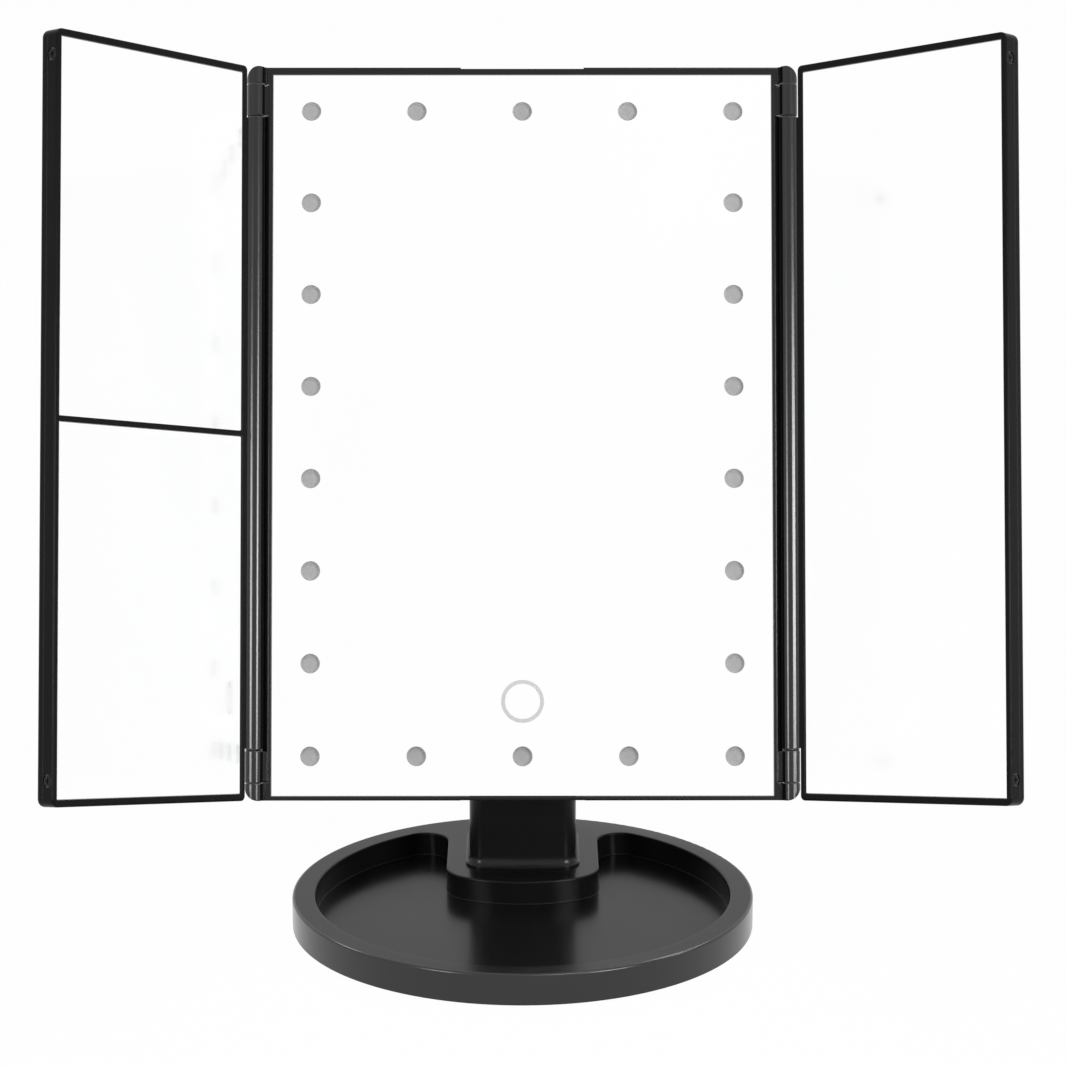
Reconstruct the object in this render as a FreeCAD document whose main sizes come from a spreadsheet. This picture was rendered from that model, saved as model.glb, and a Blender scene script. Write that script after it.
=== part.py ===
"""Folding makeup mirror with a ring of lamps, on a post that stands in a round tray.

World frame: x to the right, y away from the viewer, z up, origin under the middle of the base.
The head and its wings are laid out flat on a bench (x right, y up the panel, z towards the viewer,
zero at the back of the panel) and are then stood up on the tilt pivot by their placements.
"""

import FreeCAD, Part
import math
import os

import Sketcher

doc = FreeCAD.newDocument("makeup_mirror")
sheet = doc.addObject("Spreadsheet::Sheet", "dims")
size_names = []
nodes = []


class Length:
    """A size: its value, and the formula over the spreadsheet that gives it."""

    def __init__(self, value, formula):
        self.value = value
        self.formula = formula

    def __add__(self, other):
        other = as_length(other)
        return Length(self.value + other.value, f"({self.formula} + {other.formula})")

    def __sub__(self, other):
        other = as_length(other)
        return Length(self.value - other.value, f"({self.formula} - {other.formula})")

    def __mul__(self, factor):
        factor = as_length(factor)
        return Length(self.value * factor.value, f"({self.formula} * {factor.formula})")

    def __truediv__(self, divisor):
        divisor = as_length(divisor)
        return Length(self.value / divisor.value, f"({self.formula} / {divisor.formula})")

    def __neg__(self):
        return Length(-self.value, f"(0 - {self.formula})")

    def __radd__(self, other):
        return as_length(other) + self

    def __rsub__(self, other):
        return as_length(other) - self

    def __rmul__(self, factor):
        return self * factor


def as_length(amount):
    if isinstance(amount, Length):
        return amount
    return Length(amount, repr(amount))


def size(name, amount):
    """Writes one driving size into the spreadsheet under its own alias."""
    size_names.append(name)
    row = len(size_names)
    sheet.set(f"A{row}", name)
    sheet.set(f"B{row}", str(amount))
    sheet.setAlias(f"B{row}", name)
    sheet.recompute()
    return Length(float(sheet.get(name)), f"dims.{name}")


def bind(obj, prop, amount):
    obj.setExpression(prop, as_length(amount).formula)


# Part primitives, each with its sizes and place bound to the spreadsheet

def block(x, y, z):
    """A box between the low and high values of x, y and z."""
    box = doc.addObject("Part::Box", "block")
    for side, axis, (low, high) in (("Length", "x", x), ("Width", "y", y), ("Height", "z", z)):
        bind(box, side, as_length(high) - low)
        bind(box, f"Placement.Base.{axis}", low)
    return box


ROD_TURN = {
    "x": FreeCAD.Rotation(FreeCAD.Vector(0, 1, 0), 90),
    "y": FreeCAD.Rotation(FreeCAD.Vector(1, 0, 0), -90),
    "z": FreeCAD.Rotation(),
}


def rod(axis, span, radius, x=0, y=0, z=0):
    """A cylinder along an axis between the two ends of its span."""
    cylinder = doc.addObject("Part::Cylinder", "rod")
    cylinder.Placement = FreeCAD.Placement(FreeCAD.Vector(), ROD_TURN[axis])
    place = {"x": x, "y": y, "z": z}
    place[axis] = span[0]
    for name, amount in place.items():
        bind(cylinder, f"Placement.Base.{name}", amount)
    bind(cylinder, "Radius", radius)
    bind(cylinder, "Height", as_length(span[1]) - span[0])
    return cylinder


def join(*pieces):
    fuse = doc.addObject("Part::MultiFuse", "join")
    fuse.Shapes = list(pieces)
    fuse.Refine = True
    return fuse


def cut(base, *tools):
    """Takes the tools away from the base."""
    result = doc.addObject("Part::Cut", "cut")
    result.Base = base
    result.Tool = tools[0] if len(tools) == 1 else join(*tools)
    result.Refine = True
    return result


def overlap(first, second):
    common = doc.addObject("Part::Common", "overlap")
    common.Base = first
    common.Tool = second
    return common


def group(*pieces):
    """Separate like solids that share one node."""
    compound = doc.addObject("Part::Compound", "group")
    compound.Links = list(pieces)
    return compound


def edges_where(shape, test):
    return [index for index, edge in enumerate(shape.Edges, 1) if test(edge)]


def round_edges(base, radius, test):
    """Rounds the edges of a Part feature that pass the test."""
    doc.recompute()
    fillet = doc.addObject("Part::Fillet", "round")
    fillet.Base = base
    fillet.Edges = [(index, radius.value, radius.value) for index in edges_where(base.Shape, test)]
    return fillet


def blend(*prisms):
    """A smooth solid through the undersides of prisms with like sections."""
    doc.recompute()
    wires = []
    for prism in prisms:
        underside = min(prism.Shape.Faces, key=lambda face: face.CenterOfMass.z)
        wires.append(underside.OuterWire)
    solid = doc.addObject("Part::Feature", "blend")
    solid.Shape = Part.makeLoft(wires, True, False)
    return solid


def middle(edge):
    return edge.valueAt((edge.FirstParameter + edge.LastParameter) / 2)


def is_upright(edge):
    """True for a straight edge along z."""
    ends = [vertex.Point for vertex in edge.Vertexes]
    return len(ends) == 2 and abs(ends[0].x - ends[1].x) + abs(ends[0].y - ends[1].y) < TOUCH


def is_level_at(height):
    """A test for edges that lie wholly at one height."""
    def test(edge):
        return all(abs(point.z - height.value) < TOUCH for point in (middle(edge), *corners(edge)))
    return test


def is_ring(edge):
    return edge.isClosed()


def corners(edge):
    return [vertex.Point for vertex in edge.Vertexes]


TOUCH = 1e-4


# PartDesign bodies, made from sketches with bound dimensions

def new_body(name):
    return doc.addObject("PartDesign::Body", name)


def new_sketch(body, height):
    """A sketch parallel to the body's xy plane at the given height."""
    sketch = body.newObject("Sketcher::SketchObject", "sketch")
    ground = [plane for plane in body.Origin.OriginFeatures if plane.Role == "XY_Plane"][0]
    sketch.AttachmentSupport = [(ground, "")]
    sketch.MapMode = "FlatFace"
    bind(sketch, "AttachmentOffset.Base.z", height)
    return sketch


def hold(sketch, kind, geometry, point, amount):
    """Holds a sketch point at a bound distance from the origin."""
    amount = as_length(amount)
    index = sketch.addConstraint(Sketcher.Constraint(kind, -1, 1, geometry, point, amount.value))
    sketch.setExpression(f"Constraints[{index}]", amount.formula)


def draw_rectangle(sketch, x, y):
    low = FreeCAD.Vector(as_length(x[0]).value, as_length(y[0]).value, 0)
    high = FreeCAD.Vector(as_length(x[1]).value, as_length(y[1]).value, 0)
    points = [low, FreeCAD.Vector(high.x, low.y, 0), high, FreeCAD.Vector(low.x, high.y, 0)]
    first = sketch.GeometryCount
    for start in range(4):
        sketch.addGeometry(Part.LineSegment(points[start], points[(start + 1) % 4]), False)
    for start in range(4):
        following = first + (start + 1) % 4
        sketch.addConstraint(Sketcher.Constraint("Coincident", first + start, 2, following, 1))
    for side, direction in enumerate(("Horizontal", "Vertical", "Horizontal", "Vertical")):
        sketch.addConstraint(Sketcher.Constraint(direction, first + side))
    hold(sketch, "DistanceX", first, 1, x[0])
    hold(sketch, "DistanceY", first, 1, y[0])
    hold(sketch, "DistanceX", first + 2, 1, x[1])
    hold(sketch, "DistanceY", first + 2, 1, y[1])


def draw_circle(sketch, x, y, radius):
    x, y, radius = as_length(x), as_length(y), as_length(radius)
    centre = FreeCAD.Vector(x.value, y.value, 0)
    ring = sketch.addGeometry(Part.Circle(centre, FreeCAD.Vector(0, 0, 1), radius.value), False)
    hold(sketch, "DistanceX", ring, 3, x)
    hold(sketch, "DistanceY", ring, 3, y)
    index = sketch.addConstraint(Sketcher.Constraint("Radius", ring, radius.value))
    sketch.setExpression(f"Constraints[{index}]", radius.formula)


def pad(body, sketch, thickness):
    feature = body.newObject("PartDesign::Pad", "pad")
    feature.Profile = sketch
    bind(feature, "Length", thickness)
    return feature


def pocket(body, sketch, depth):
    """Cuts downwards from the sketch, and makes sure that it took something away."""
    doc.recompute()
    before = body.Shape.Volume
    feature = body.newObject("PartDesign::Pocket", "pocket")
    feature.Profile = sketch
    bind(feature, "Length", depth)
    doc.recompute()
    if body.Shape.Volume >= before:
        raise RuntimeError(f"a pocket of {body.Name} cuts nothing")
    return feature


def body_fillet(body, radius, test):
    """Rounds the edges of a body that pass the test."""
    doc.recompute()
    base = body.Tip
    names = [f"Edge{index}" for index in edges_where(base.Shape, test)]
    feature = body.newObject("PartDesign::Fillet", "fillet")
    feature.Base = (base, names)
    bind(feature, "Radius", radius)
    doc.recompute()
    return feature


def keep(piece, name, placement=None):
    """Names a finished sub-part and puts it where it belongs."""
    piece.Label = name
    if placement is not None:
        piece.Placement = placement
    nodes.append(piece)
    return piece


def centred(width):
    return (-width / 2, width / 2)


def sided(side, near, far):
    """The span between two distances from the middle plane, on the left (-1) or the right (1)."""
    if side > 0:
        return (near, far)
    return (-far, -near)


# The head: outline, layers through its depth, and pose

panel_height = size("panel_height", 238.0)
panel_depth = size("panel_depth", 13.5)
hinge_spacing = size("hinge_spacing", 173.0)
hinge_axis_forward = size("hinge_axis_forward", 0.5)
barrel_radius = size("barrel_radius", 2.9)
barrel_gap = size("barrel_gap", 0.4)
frame_depth = size("frame_depth", 7.0)
frame_strip = size("frame_strip", 2.2)
frame_top_bar = size("frame_top_bar", 2.4)
frame_bottom_bar = size("frame_bottom_bar", 1.4)
frame_wall = size("frame_wall", 1.8)
frame_edge_round = size("frame_edge_round", 0.5)
groove_gap = size("groove_gap", 1.45)
flange_reach = size("flange_reach", 1.8)
mirror_recess = size("mirror_recess", 0.6)
mirror_thickness = size("mirror_thickness", 2.0)
mirror_gap = size("mirror_gap", 0.15)
tape_thickness = size("tape_thickness", 0.6)
tape_inset = size("tape_inset", 1.0)
floor_thickness = size("floor_thickness", 1.6)
tilt_lean = size("tilt_lean", 16.6)
left_swing = size("left_swing", 50.0)
right_swing = size("right_swing", 43.7)

panel_width = hinge_spacing - 2 * (barrel_radius + barrel_gap)
hinge_x = hinge_spacing / 2
hinge_z = panel_depth + hinge_axis_forward
seam_z = panel_depth - frame_depth
groove_radius = barrel_radius + groove_gap
strip_side = hinge_x - groove_radius
pane_top = panel_depth - mirror_recess
pane_bottom = pane_top - mirror_thickness
floor_top = pane_bottom - tape_thickness
floor_bottom = floor_top - floor_thickness
glass_x = centred(panel_width - 2 * frame_strip)
glass_y = (frame_bottom_bar, panel_height - frame_top_bar)

# The stand: base tray, post and tilt pivot

foot_height = size("foot_height", 1.0)
base_radius = size("base_radius", 75.0)
base_wall = size("base_wall", 1.6)
skirt_clearance = size("skirt_clearance", 1.6)
cover_thickness = size("cover_thickness", 1.6)
tray_floor = size("tray_floor", 1.2)
tray_depth = size("tray_depth", 7.8)
rim_width = size("rim_width", 7.4)
post_width = size("post_width", 35.4)
post_depth = size("post_depth", 34.0)
post_setback = size("post_setback", 19.5)
post_top_wall = size("post_top_wall", 2.4)
post_floor = size("post_floor", 2.2)
ear_thickness = size("ear_thickness", 5.0)
ear_radius = size("ear_radius", 7.5)
pivot_height = size("pivot_height", 86.1)
tilt_height = size("tilt_height", 50.0)
tilt_offset = size("tilt_offset", 9.0)

cover_top = foot_height + cover_thickness
tray_top = cover_top + tray_floor
rim_top = tray_top + tray_depth
post_back = base_radius - post_setback
post_front = post_back - post_depth
pivot_y = post_front + ear_radius


def head_placement():
    """Stands the flat head up on the tilt pivot, leaning back from the viewer."""
    turn = FreeCAD.Rotation(FreeCAD.Vector(1, 0, 0), 90 - tilt_lean.value)
    on_panel = FreeCAD.Vector(0, tilt_height.value, -tilt_offset.value)
    pivot = FreeCAD.Vector(0, pivot_y.value, pivot_height.value)
    return FreeCAD.Placement(pivot - turn.multVec(on_panel), turn)


def wing_placement(side, swing):
    """Swings a wing forward about its hinge from lying level with the middle panel."""
    axis_point = FreeCAD.Vector(side * hinge_x.value, 0, hinge_z.value)
    turn = FreeCAD.Rotation(FreeCAD.Vector(0, 1, 0), -side * swing.value)
    swung = FreeCAD.Placement(axis_point - turn.multVec(axis_point), turn)
    return HEAD.multiply(swung)


HEAD = head_placement()
SWINGS = {-1: left_swing, 1: right_swing}
SIDE_NAMES = {-1: "left", 1: "right"}


# The lamps: one column down each side of the middle mirror and a row at its top and bottom

lamp_radius = size("lamp_radius", 3.2)
lamp_gap = size("lamp_gap", 0.1)
lamp_recess = size("lamp_recess", 0.8)
lamp_inset_x = size("lamp_inset_x", 14.6)
lamp_inset_y = size("lamp_inset_y", 14.2)
chip_width = size("chip_width", 3.5)
chip_height = size("chip_height", 2.8)
chip_thickness = size("chip_thickness", 0.7)
board_thickness = size("board_thickness", 1.2)
board_strip = size("board_strip", 12.0)
LAMPS_PER_COLUMN = 8
LAMPS_PER_ROW = 5


def lamp_places():
    """Centres of the lamps, going round the edge of the middle mirror."""
    right = panel_width / 2 - lamp_inset_x
    pitch_x = 2 * right / (LAMPS_PER_ROW - 1)
    pitch_y = (panel_height - 2 * lamp_inset_y) / (LAMPS_PER_COLUMN - 1)
    places = []
    for step in range(LAMPS_PER_COLUMN):
        height = lamp_inset_y + step * pitch_y
        places.append((-right, height))
        places.append((right, height))
    for step in range(1, LAMPS_PER_ROW - 1):
        across = step * pitch_x - right
        places.append((across, lamp_inset_y))
        places.append((across, panel_height - lamp_inset_y))
    return places


def lamp_rods(z, radius):
    return [rod("z", z, radius, x=x, y=y) for x, y in lamp_places()]


# The touch switch: a frosted ring in the glass with a conductive pad behind it

touch_height = size("touch_height", 31.9)
touch_ring_radius = size("touch_ring_radius", 6.95)
touch_ring_width = size("touch_ring_width", 1.3)
touch_ring_depth = size("touch_ring_depth", 0.3)
touch_pad_radius = size("touch_pad_radius", 5.0)
touch_pad_gap = size("touch_pad_gap", 0.3)
inlay_gap = size("inlay_gap", 0.02)


def touch_hole(z):
    return rod("z", z, touch_pad_radius + touch_pad_gap, y=touch_height)


def ring_band(z, gap):
    """The ring's band, narrowed by a gap on both sides."""
    outer = rod("z", z, touch_ring_radius - gap, y=touch_height)
    inner = rod("z", z, touch_ring_radius - touch_ring_width + gap, y=touch_height)
    return cut(outer, inner)


# Hinge knuckles, caps and pins at the four corners of the middle panel

cap_height = size("cap_height", 5.7)
cap_round = size("cap_round", 4.5)
knuckle_length = size("knuckle_length", 10.4)
knuckle_gap = size("knuckle_gap", 0.3)
knuckle_round = size("knuckle_round", 0.45)
pin_radius = size("pin_radius", 1.0)
pin_reach = size("pin_reach", 8.0)
pin_fixed_gap = size("pin_fixed_gap", 0.02)
pin_running_gap = size("pin_running_gap", 0.05)

UPPER, LOWER = 1, -1


def from_end(end, near, far):
    """A span up the panel, measured in from its lower (-1) or upper (1) edge."""
    if end == LOWER:
        return (near, far)
    return (panel_height - far, panel_height - near)


def barrel(side, y):
    """A length of hinge barrel with rounded ends."""
    blank = rod("y", y, barrel_radius, x=side * hinge_x, z=hinge_z)
    return round_edges(blank, knuckle_round, is_ring)


def lug(side, y, inner_x):
    """A hinge barrel with the web that ties it to the side of the panel."""
    web_y = (y[0] + knuckle_round, y[1] - knuckle_round)
    web_z = (hinge_z - barrel_radius, hinge_z - barrel_radius / 2)
    web = block(sided(side, inner_x, hinge_x), web_y, web_z)
    return join(barrel(side, y), web)


def hinge_corners():
    return [(side, end) for side in (-1, 1) for end in (LOWER, UPPER)]


# Screws that hold the back cover to the front frame

boss_radius = size("boss_radius", 3.0)
boss_x = size("boss_x", 52.0)
boss_inset_y = size("boss_inset_y", 25.0)
screw_radius = size("screw_radius", 1.2)
screw_head_radius = size("screw_head_radius", 2.3)
screw_head_height = size("screw_head_height", 1.0)
screw_seat_gap = size("screw_seat_gap", 0.2)
screw_fit_gap = size("screw_fit_gap", 0.02)
screw_reach = size("screw_reach", 4.5)
back_wall = size("back_wall", 2.2)
back_round = size("back_round", 4.0)

BOSSES = [
    (side * boss_x, height)
    for side in (-1, 1)
    for height in (boss_inset_y, panel_height / 2, panel_height - boss_inset_y)
]


def screw(x, y, head_z, tip_z, points_up=True):
    """A pan-head screw along z, with its head below the seat when it points up."""
    if points_up:
        head = rod("z", (head_z - screw_head_height, head_z), screw_head_radius, x=x, y=y)
        shank = rod("z", (head_z, tip_z), screw_radius, x=x, y=y)
    else:
        head = rod("z", (head_z, head_z + screw_head_height), screw_head_radius, x=x, y=y)
        shank = rod("z", (tip_z, head_z), screw_radius, x=x, y=y)
    return join(head, shank)


# Front frame: one moulding with the glass bed, lamp holes, knuckles and screw bosses

notch_width = size("notch_width", 40.0)
notch_depth = size("notch_depth", 0.5)
notch_run = size("notch_run", 3.0)


def front_frame():
    outer = block(centred(panel_width), (0, panel_height), (seam_z, panel_depth))
    outer = round_edges(outer, frame_edge_round, is_level_at(panel_depth))
    between_caps = (cap_height, panel_height - cap_height)
    flange_z = (seam_z, hinge_z - barrel_radius)
    flanges = [
        block(sided(side, strip_side, panel_width / 2 + flange_reach), between_caps, flange_z)
        for side in (-1, 1)
    ]
    outer = join(outer, *flanges)
    inside = centred(panel_width - 2 * frame_wall)
    cuts = [
        rod("y", between_caps, groove_radius, x=side * hinge_x, z=hinge_z) for side in (-1, 1)
    ]
    cuts += [
        block(glass_x, glass_y, (floor_top, panel_depth + mirror_thickness)),
        block(inside, (frame_wall, panel_height - frame_wall), (seam_z - frame_wall, floor_bottom)),
        touch_hole((floor_bottom - floor_thickness, floor_top + tape_thickness)),
    ]
    cuts += lamp_rods((floor_bottom - floor_thickness, floor_top + tape_thickness), lamp_radius)
    notch_z = (panel_depth - notch_run, panel_depth + notch_run)
    for end in (LOWER, UPPER):
        cuts.append(block(centred(notch_width), from_end(end, -notch_depth, notch_depth), notch_z))
    shell = cut(outer, *cuts)
    knuckles = [
        lug(side, from_end(end, cap_height, cap_height + knuckle_length), strip_side - frame_strip / 4)
        for side, end in hinge_corners()
    ]
    posts = [rod("z", (back_wall, floor_bottom), boss_radius, x=x, y=y) for x, y in BOSSES]
    holes = [
        rod("y", from_end(end, cap_height - pin_reach, cap_height + knuckle_length + knuckle_gap),
            pin_radius + pin_fixed_gap, x=side * hinge_x, z=hinge_z)
        for side, end in hinge_corners()
    ]
    holes += [
        rod("z", (0, back_wall + screw_reach), screw_radius + screw_fit_gap, x=x, y=y) for x, y in BOSSES
    ]
    return cut(join(shell, *knuckles, *posts), *holes)


keep(front_frame(), "front_frame", HEAD)


# Back cover: a shallow shell with a stiff pad inside where the tilt bracket is screwed on

bracket_width = size("bracket_width", 22.0)
bracket_below = size("bracket_below", 9.0)
bracket_above = size("bracket_above", 27.0)
bracket_plate = size("bracket_plate", 2.5)
bracket_pad = size("bracket_pad", 3.0)
bracket_screw_x = size("bracket_screw_x", 6.5)
bracket_screw_low = size("bracket_screw_low", 12.0)
bracket_screw_high = size("bracket_screw_high", 22.0)
bracket_screw_reach = size("bracket_screw_reach", 4.5)

bracket_y = (tilt_height - bracket_below, tilt_height + bracket_above)
BRACKET_SCREWS = [
    (side * bracket_screw_x, tilt_height + above)
    for side in (-1, 1)
    for above in (bracket_screw_low, bracket_screw_high)
]


def back_cover():
    outer = block(centred(panel_width), (0, panel_height), (0, seam_z))
    outer = round_edges(outer, back_round, is_level_at(as_length(0)))
    inside_x = centred(panel_width - 2 * back_wall)
    hollow = block(inside_x, (back_wall, panel_height - back_wall), (back_wall, seam_z + back_wall))
    stiffener = block(centred(bracket_width), bracket_y, (back_wall / 2, back_wall + bracket_pad))
    shell = join(cut(outer, hollow), stiffener)
    holes = []
    for x, y in BOSSES:
        holes.append(rod("z", (-back_wall, back_wall * 2), screw_radius + screw_seat_gap, x=x, y=y))
        seat = (-back_wall, screw_head_height + screw_seat_gap)
        holes.append(rod("z", seat, screw_head_radius + screw_seat_gap, x=x, y=y))
    for x, y in BRACKET_SCREWS:
        holes.append(rod("z", (-back_wall, bracket_screw_reach), screw_radius + screw_fit_gap, x=x, y=y))
    return cut(shell, *holes)


keep(back_cover(), "back_cover", HEAD)
keep(
    group(*[
        screw(x, y, screw_head_height + screw_seat_gap, back_wall + screw_reach - screw_seat_gap)
        for x, y in BOSSES
    ]),
    "cover_screws",
    HEAD,
)


# Middle mirror, its foam tape, the lamp lenses and the touch ring

def middle_mirror():
    body = new_body("middle_mirror")
    outline = new_sketch(body, pane_bottom)
    pane_x = (glass_x[0] + mirror_gap, glass_x[1] - mirror_gap)
    draw_rectangle(outline, pane_x, (glass_y[0] + mirror_gap, glass_y[1] - mirror_gap))
    pad(body, outline, mirror_thickness)
    windows = new_sketch(body, pane_top)
    for x, y in lamp_places():
        draw_circle(windows, x, y, lamp_radius)
    pocket(body, windows, mirror_thickness)
    etching = new_sketch(body, pane_top)
    draw_circle(etching, 0, touch_height, touch_ring_radius)
    draw_circle(etching, 0, touch_height, touch_ring_radius - touch_ring_width)
    pocket(body, etching, touch_ring_depth)
    return body


def mirror_tape():
    inset = mirror_gap + tape_inset
    sheet_y = (glass_y[0] + inset, glass_y[1] - inset)
    sheet_block = block((glass_x[0] + inset, glass_x[1] - inset), sheet_y, (floor_top, pane_bottom))
    past = (floor_top - tape_thickness, pane_bottom + tape_thickness)
    return cut(sheet_block, touch_hole(past), *lamp_rods(past, lamp_radius))


lens_bottom = floor_bottom + chip_thickness + lamp_gap
lens_top = pane_top - lamp_recess
keep(middle_mirror(), "middle_mirror", HEAD)
keep(mirror_tape(), "mirror_tape", HEAD)
keep(group(*lamp_rods((lens_bottom, lens_top), lamp_radius - lamp_gap)), "lamp_lenses", HEAD)
keep(ring_band((pane_top - touch_ring_depth, pane_top), inlay_gap), "touch_ring", HEAD)
keep(group(rod("z", (floor_bottom, pane_bottom), touch_pad_radius, y=touch_height)), "touch_pad", HEAD)


# Lamp board, a flat loop under the glass bed, its lamp chips, and the control board

control_width = size("control_width", 40.0)
control_height = size("control_height", 21.0)
control_part_width = size("control_part_width", 9.0)
control_part_height = size("control_part_height", 7.0)
control_part_thickness = size("control_part_thickness", 1.6)


def lamp_board():
    body = new_body("lamp_board")
    loop = new_sketch(body, floor_bottom - board_thickness)
    outer_x = panel_width - 2 * lamp_inset_x + board_strip
    outer_y = (lamp_inset_y - board_strip / 2, panel_height - lamp_inset_y + board_strip / 2)
    draw_rectangle(loop, centred(outer_x), outer_y)
    inner_y = (outer_y[0] + board_strip, outer_y[1] - board_strip)
    draw_rectangle(loop, centred(outer_x - 2 * board_strip), inner_y)
    pad(body, loop, board_thickness)
    return body


def lamp_chip(x, y):
    chip_x = (x - chip_width / 2, x + chip_width / 2)
    chip_y = (y - chip_height / 2, y + chip_height / 2)
    return block(chip_x, chip_y, (floor_bottom, floor_bottom + chip_thickness))


def control_board():
    low = lamp_inset_y + board_strip / 2 + frame_wall
    under = floor_bottom - board_thickness
    board = block(centred(control_width), (low, low + control_height), (under, floor_bottom))
    part_y = (low + frame_wall, low + frame_wall + control_part_height)
    parts = [board]
    for side in (-1, 1):
        part_x = sided(side, control_part_width / 2, control_part_width * 1.5)
        parts.append(block(part_x, part_y, (under - control_part_thickness, under)))
    return join(*parts)


keep(lamp_board(), "lamp_board", HEAD)
keep(group(*[lamp_chip(x, y) for x, y in lamp_places()]), "lamp_chips", HEAD)
keep(control_board(), "control_board", HEAD)


# Hinge caps and pins

def hinge_cap(side, end):
    """The rounded end of a hinge, outside its knuckle."""
    y = from_end(end, 0, cap_height)
    web = block(sided(side, panel_width / 2, hinge_x), y, (hinge_z - barrel_radius, panel_depth))
    blank = join(barrel(side, y), web)
    round_x = hinge_x + barrel_radius - cap_round
    past = (hinge_z - 2 * barrel_radius, hinge_z + 2 * barrel_radius)
    corner_x = sided(side, round_x, hinge_x + 2 * barrel_radius)
    corner = block(corner_x, from_end(end, -cap_round, cap_round), past)
    centre_y = cap_round if end == LOWER else panel_height - cap_round
    return cut(blank, cut(corner, rod("z", past, cap_round, x=side * round_x, y=centre_y)))


def hinge_pin(side, end):
    inner_end = cap_height + knuckle_length + knuckle_gap + pin_reach
    return rod("y", from_end(end, cap_height, inner_end), pin_radius, x=side * hinge_x, z=hinge_z)


keep(group(*[hinge_cap(*corner) for corner in hinge_corners()]), "hinge_caps", HEAD)
keep(group(*[hinge_pin(*corner) for corner in hinge_corners()]), "hinge_pins", HEAD)


# Wings: a front frame with the hinge barrel, a back cover, and the mirror panes

wing_reach = size("wing_reach", 85.8)
wing_depth = size("wing_depth", 7.4)
wing_frame_depth = size("wing_frame_depth", 4.4)
wing_rim = size("wing_rim", 1.9)
wing_bar = size("wing_bar", 2.3)
wing_divider = size("wing_divider", 1.8)
divider_drop = size("divider_drop", 0.8)
wing_mirror_thickness = size("wing_mirror_thickness", 1.8)
wing_outer_round = size("wing_outer_round", 2.5)
wing_inner_round = size("wing_inner_round", 1.6)
wing_back_wall = size("wing_back_wall", 1.5)
wing_back_round = size("wing_back_round", 1.4)
pane_round = size("pane_round", 0.3)
side_screw_inset = size("side_screw_inset", 8.0)
side_screw_behind = size("side_screw_behind", 2.4)
side_screw_radius = size("side_screw_radius", 1.7)
side_screw_sunk = size("side_screw_sunk", 0.25)
side_screw_head = size("side_screw_head", 0.7)
side_screw_shank = size("side_screw_shank", 0.9)
side_screw_reach = size("side_screw_reach", 1.6)

wing_near = barrel_radius + barrel_gap
wing_seam = panel_depth - wing_frame_depth
wing_back_z = panel_depth - wing_depth
wing_pane_top = panel_depth - mirror_recess
wing_pane_bottom = wing_pane_top - wing_mirror_thickness
wing_bed = wing_pane_bottom - tape_thickness


def wing_span(side, near, far):
    """A span across a wing, measured out from its hinge axis."""
    return sided(side, hinge_x + near, hinge_x + far)


def wing_bays(panes, inset):
    """The spans up the wing of its mirror bays, shrunk by an inset all round."""
    if panes == 1:
        return [(wing_bar + inset, panel_height - wing_bar - inset)]
    middle = panel_height / 2 - divider_drop
    lower = (wing_bar + inset, middle - wing_divider / 2 - inset)
    upper = (middle + wing_divider / 2 + inset, panel_height - wing_bar - inset)
    return [lower, upper]


def round_wing_corners(body):
    """Rounds the four upright corners of a wing piece, the outer ones more than the inner ones."""
    outer_x = hinge_x.value + wing_reach.value
    inner_x = hinge_x.value + wing_near.value

    def is_corner_at(distance):
        def test(edge):
            at_ends = middle(edge).y < TOUCH or middle(edge).y > panel_height.value - TOUCH
            return is_upright(edge) and at_ends and abs(abs(middle(edge).x) - distance) < TOUCH
        return test

    body_fillet(body, wing_outer_round, is_corner_at(outer_x))
    body_fillet(body, wing_inner_round, is_corner_at(inner_x))


def wing_blank(name, side, low, depth):
    body = new_body(name)
    outline = new_sketch(body, low)
    draw_rectangle(outline, wing_span(side, wing_near, wing_reach), (0, panel_height))
    pad(body, outline, depth)
    round_wing_corners(body)
    return body


def side_rod(side, end, near, far, radius):
    """A rod across the outer side of a wing, between two depths measured in from that side."""
    x = wing_span(side, wing_reach - far, wing_reach - near)
    y = from_end(end, side_screw_inset, side_screw_inset)[0]
    return rod("x", x, radius, y=y, z=panel_depth - side_screw_behind)


def side_screw(side, end):
    """A short screw, sunk in the outer side of a wing."""
    seat = side_screw_sunk + side_screw_head
    head = side_rod(side, end, side_screw_sunk, seat, side_screw_radius)
    return join(head, side_rod(side, end, seat, side_screw_reach, side_screw_shank))


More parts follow.
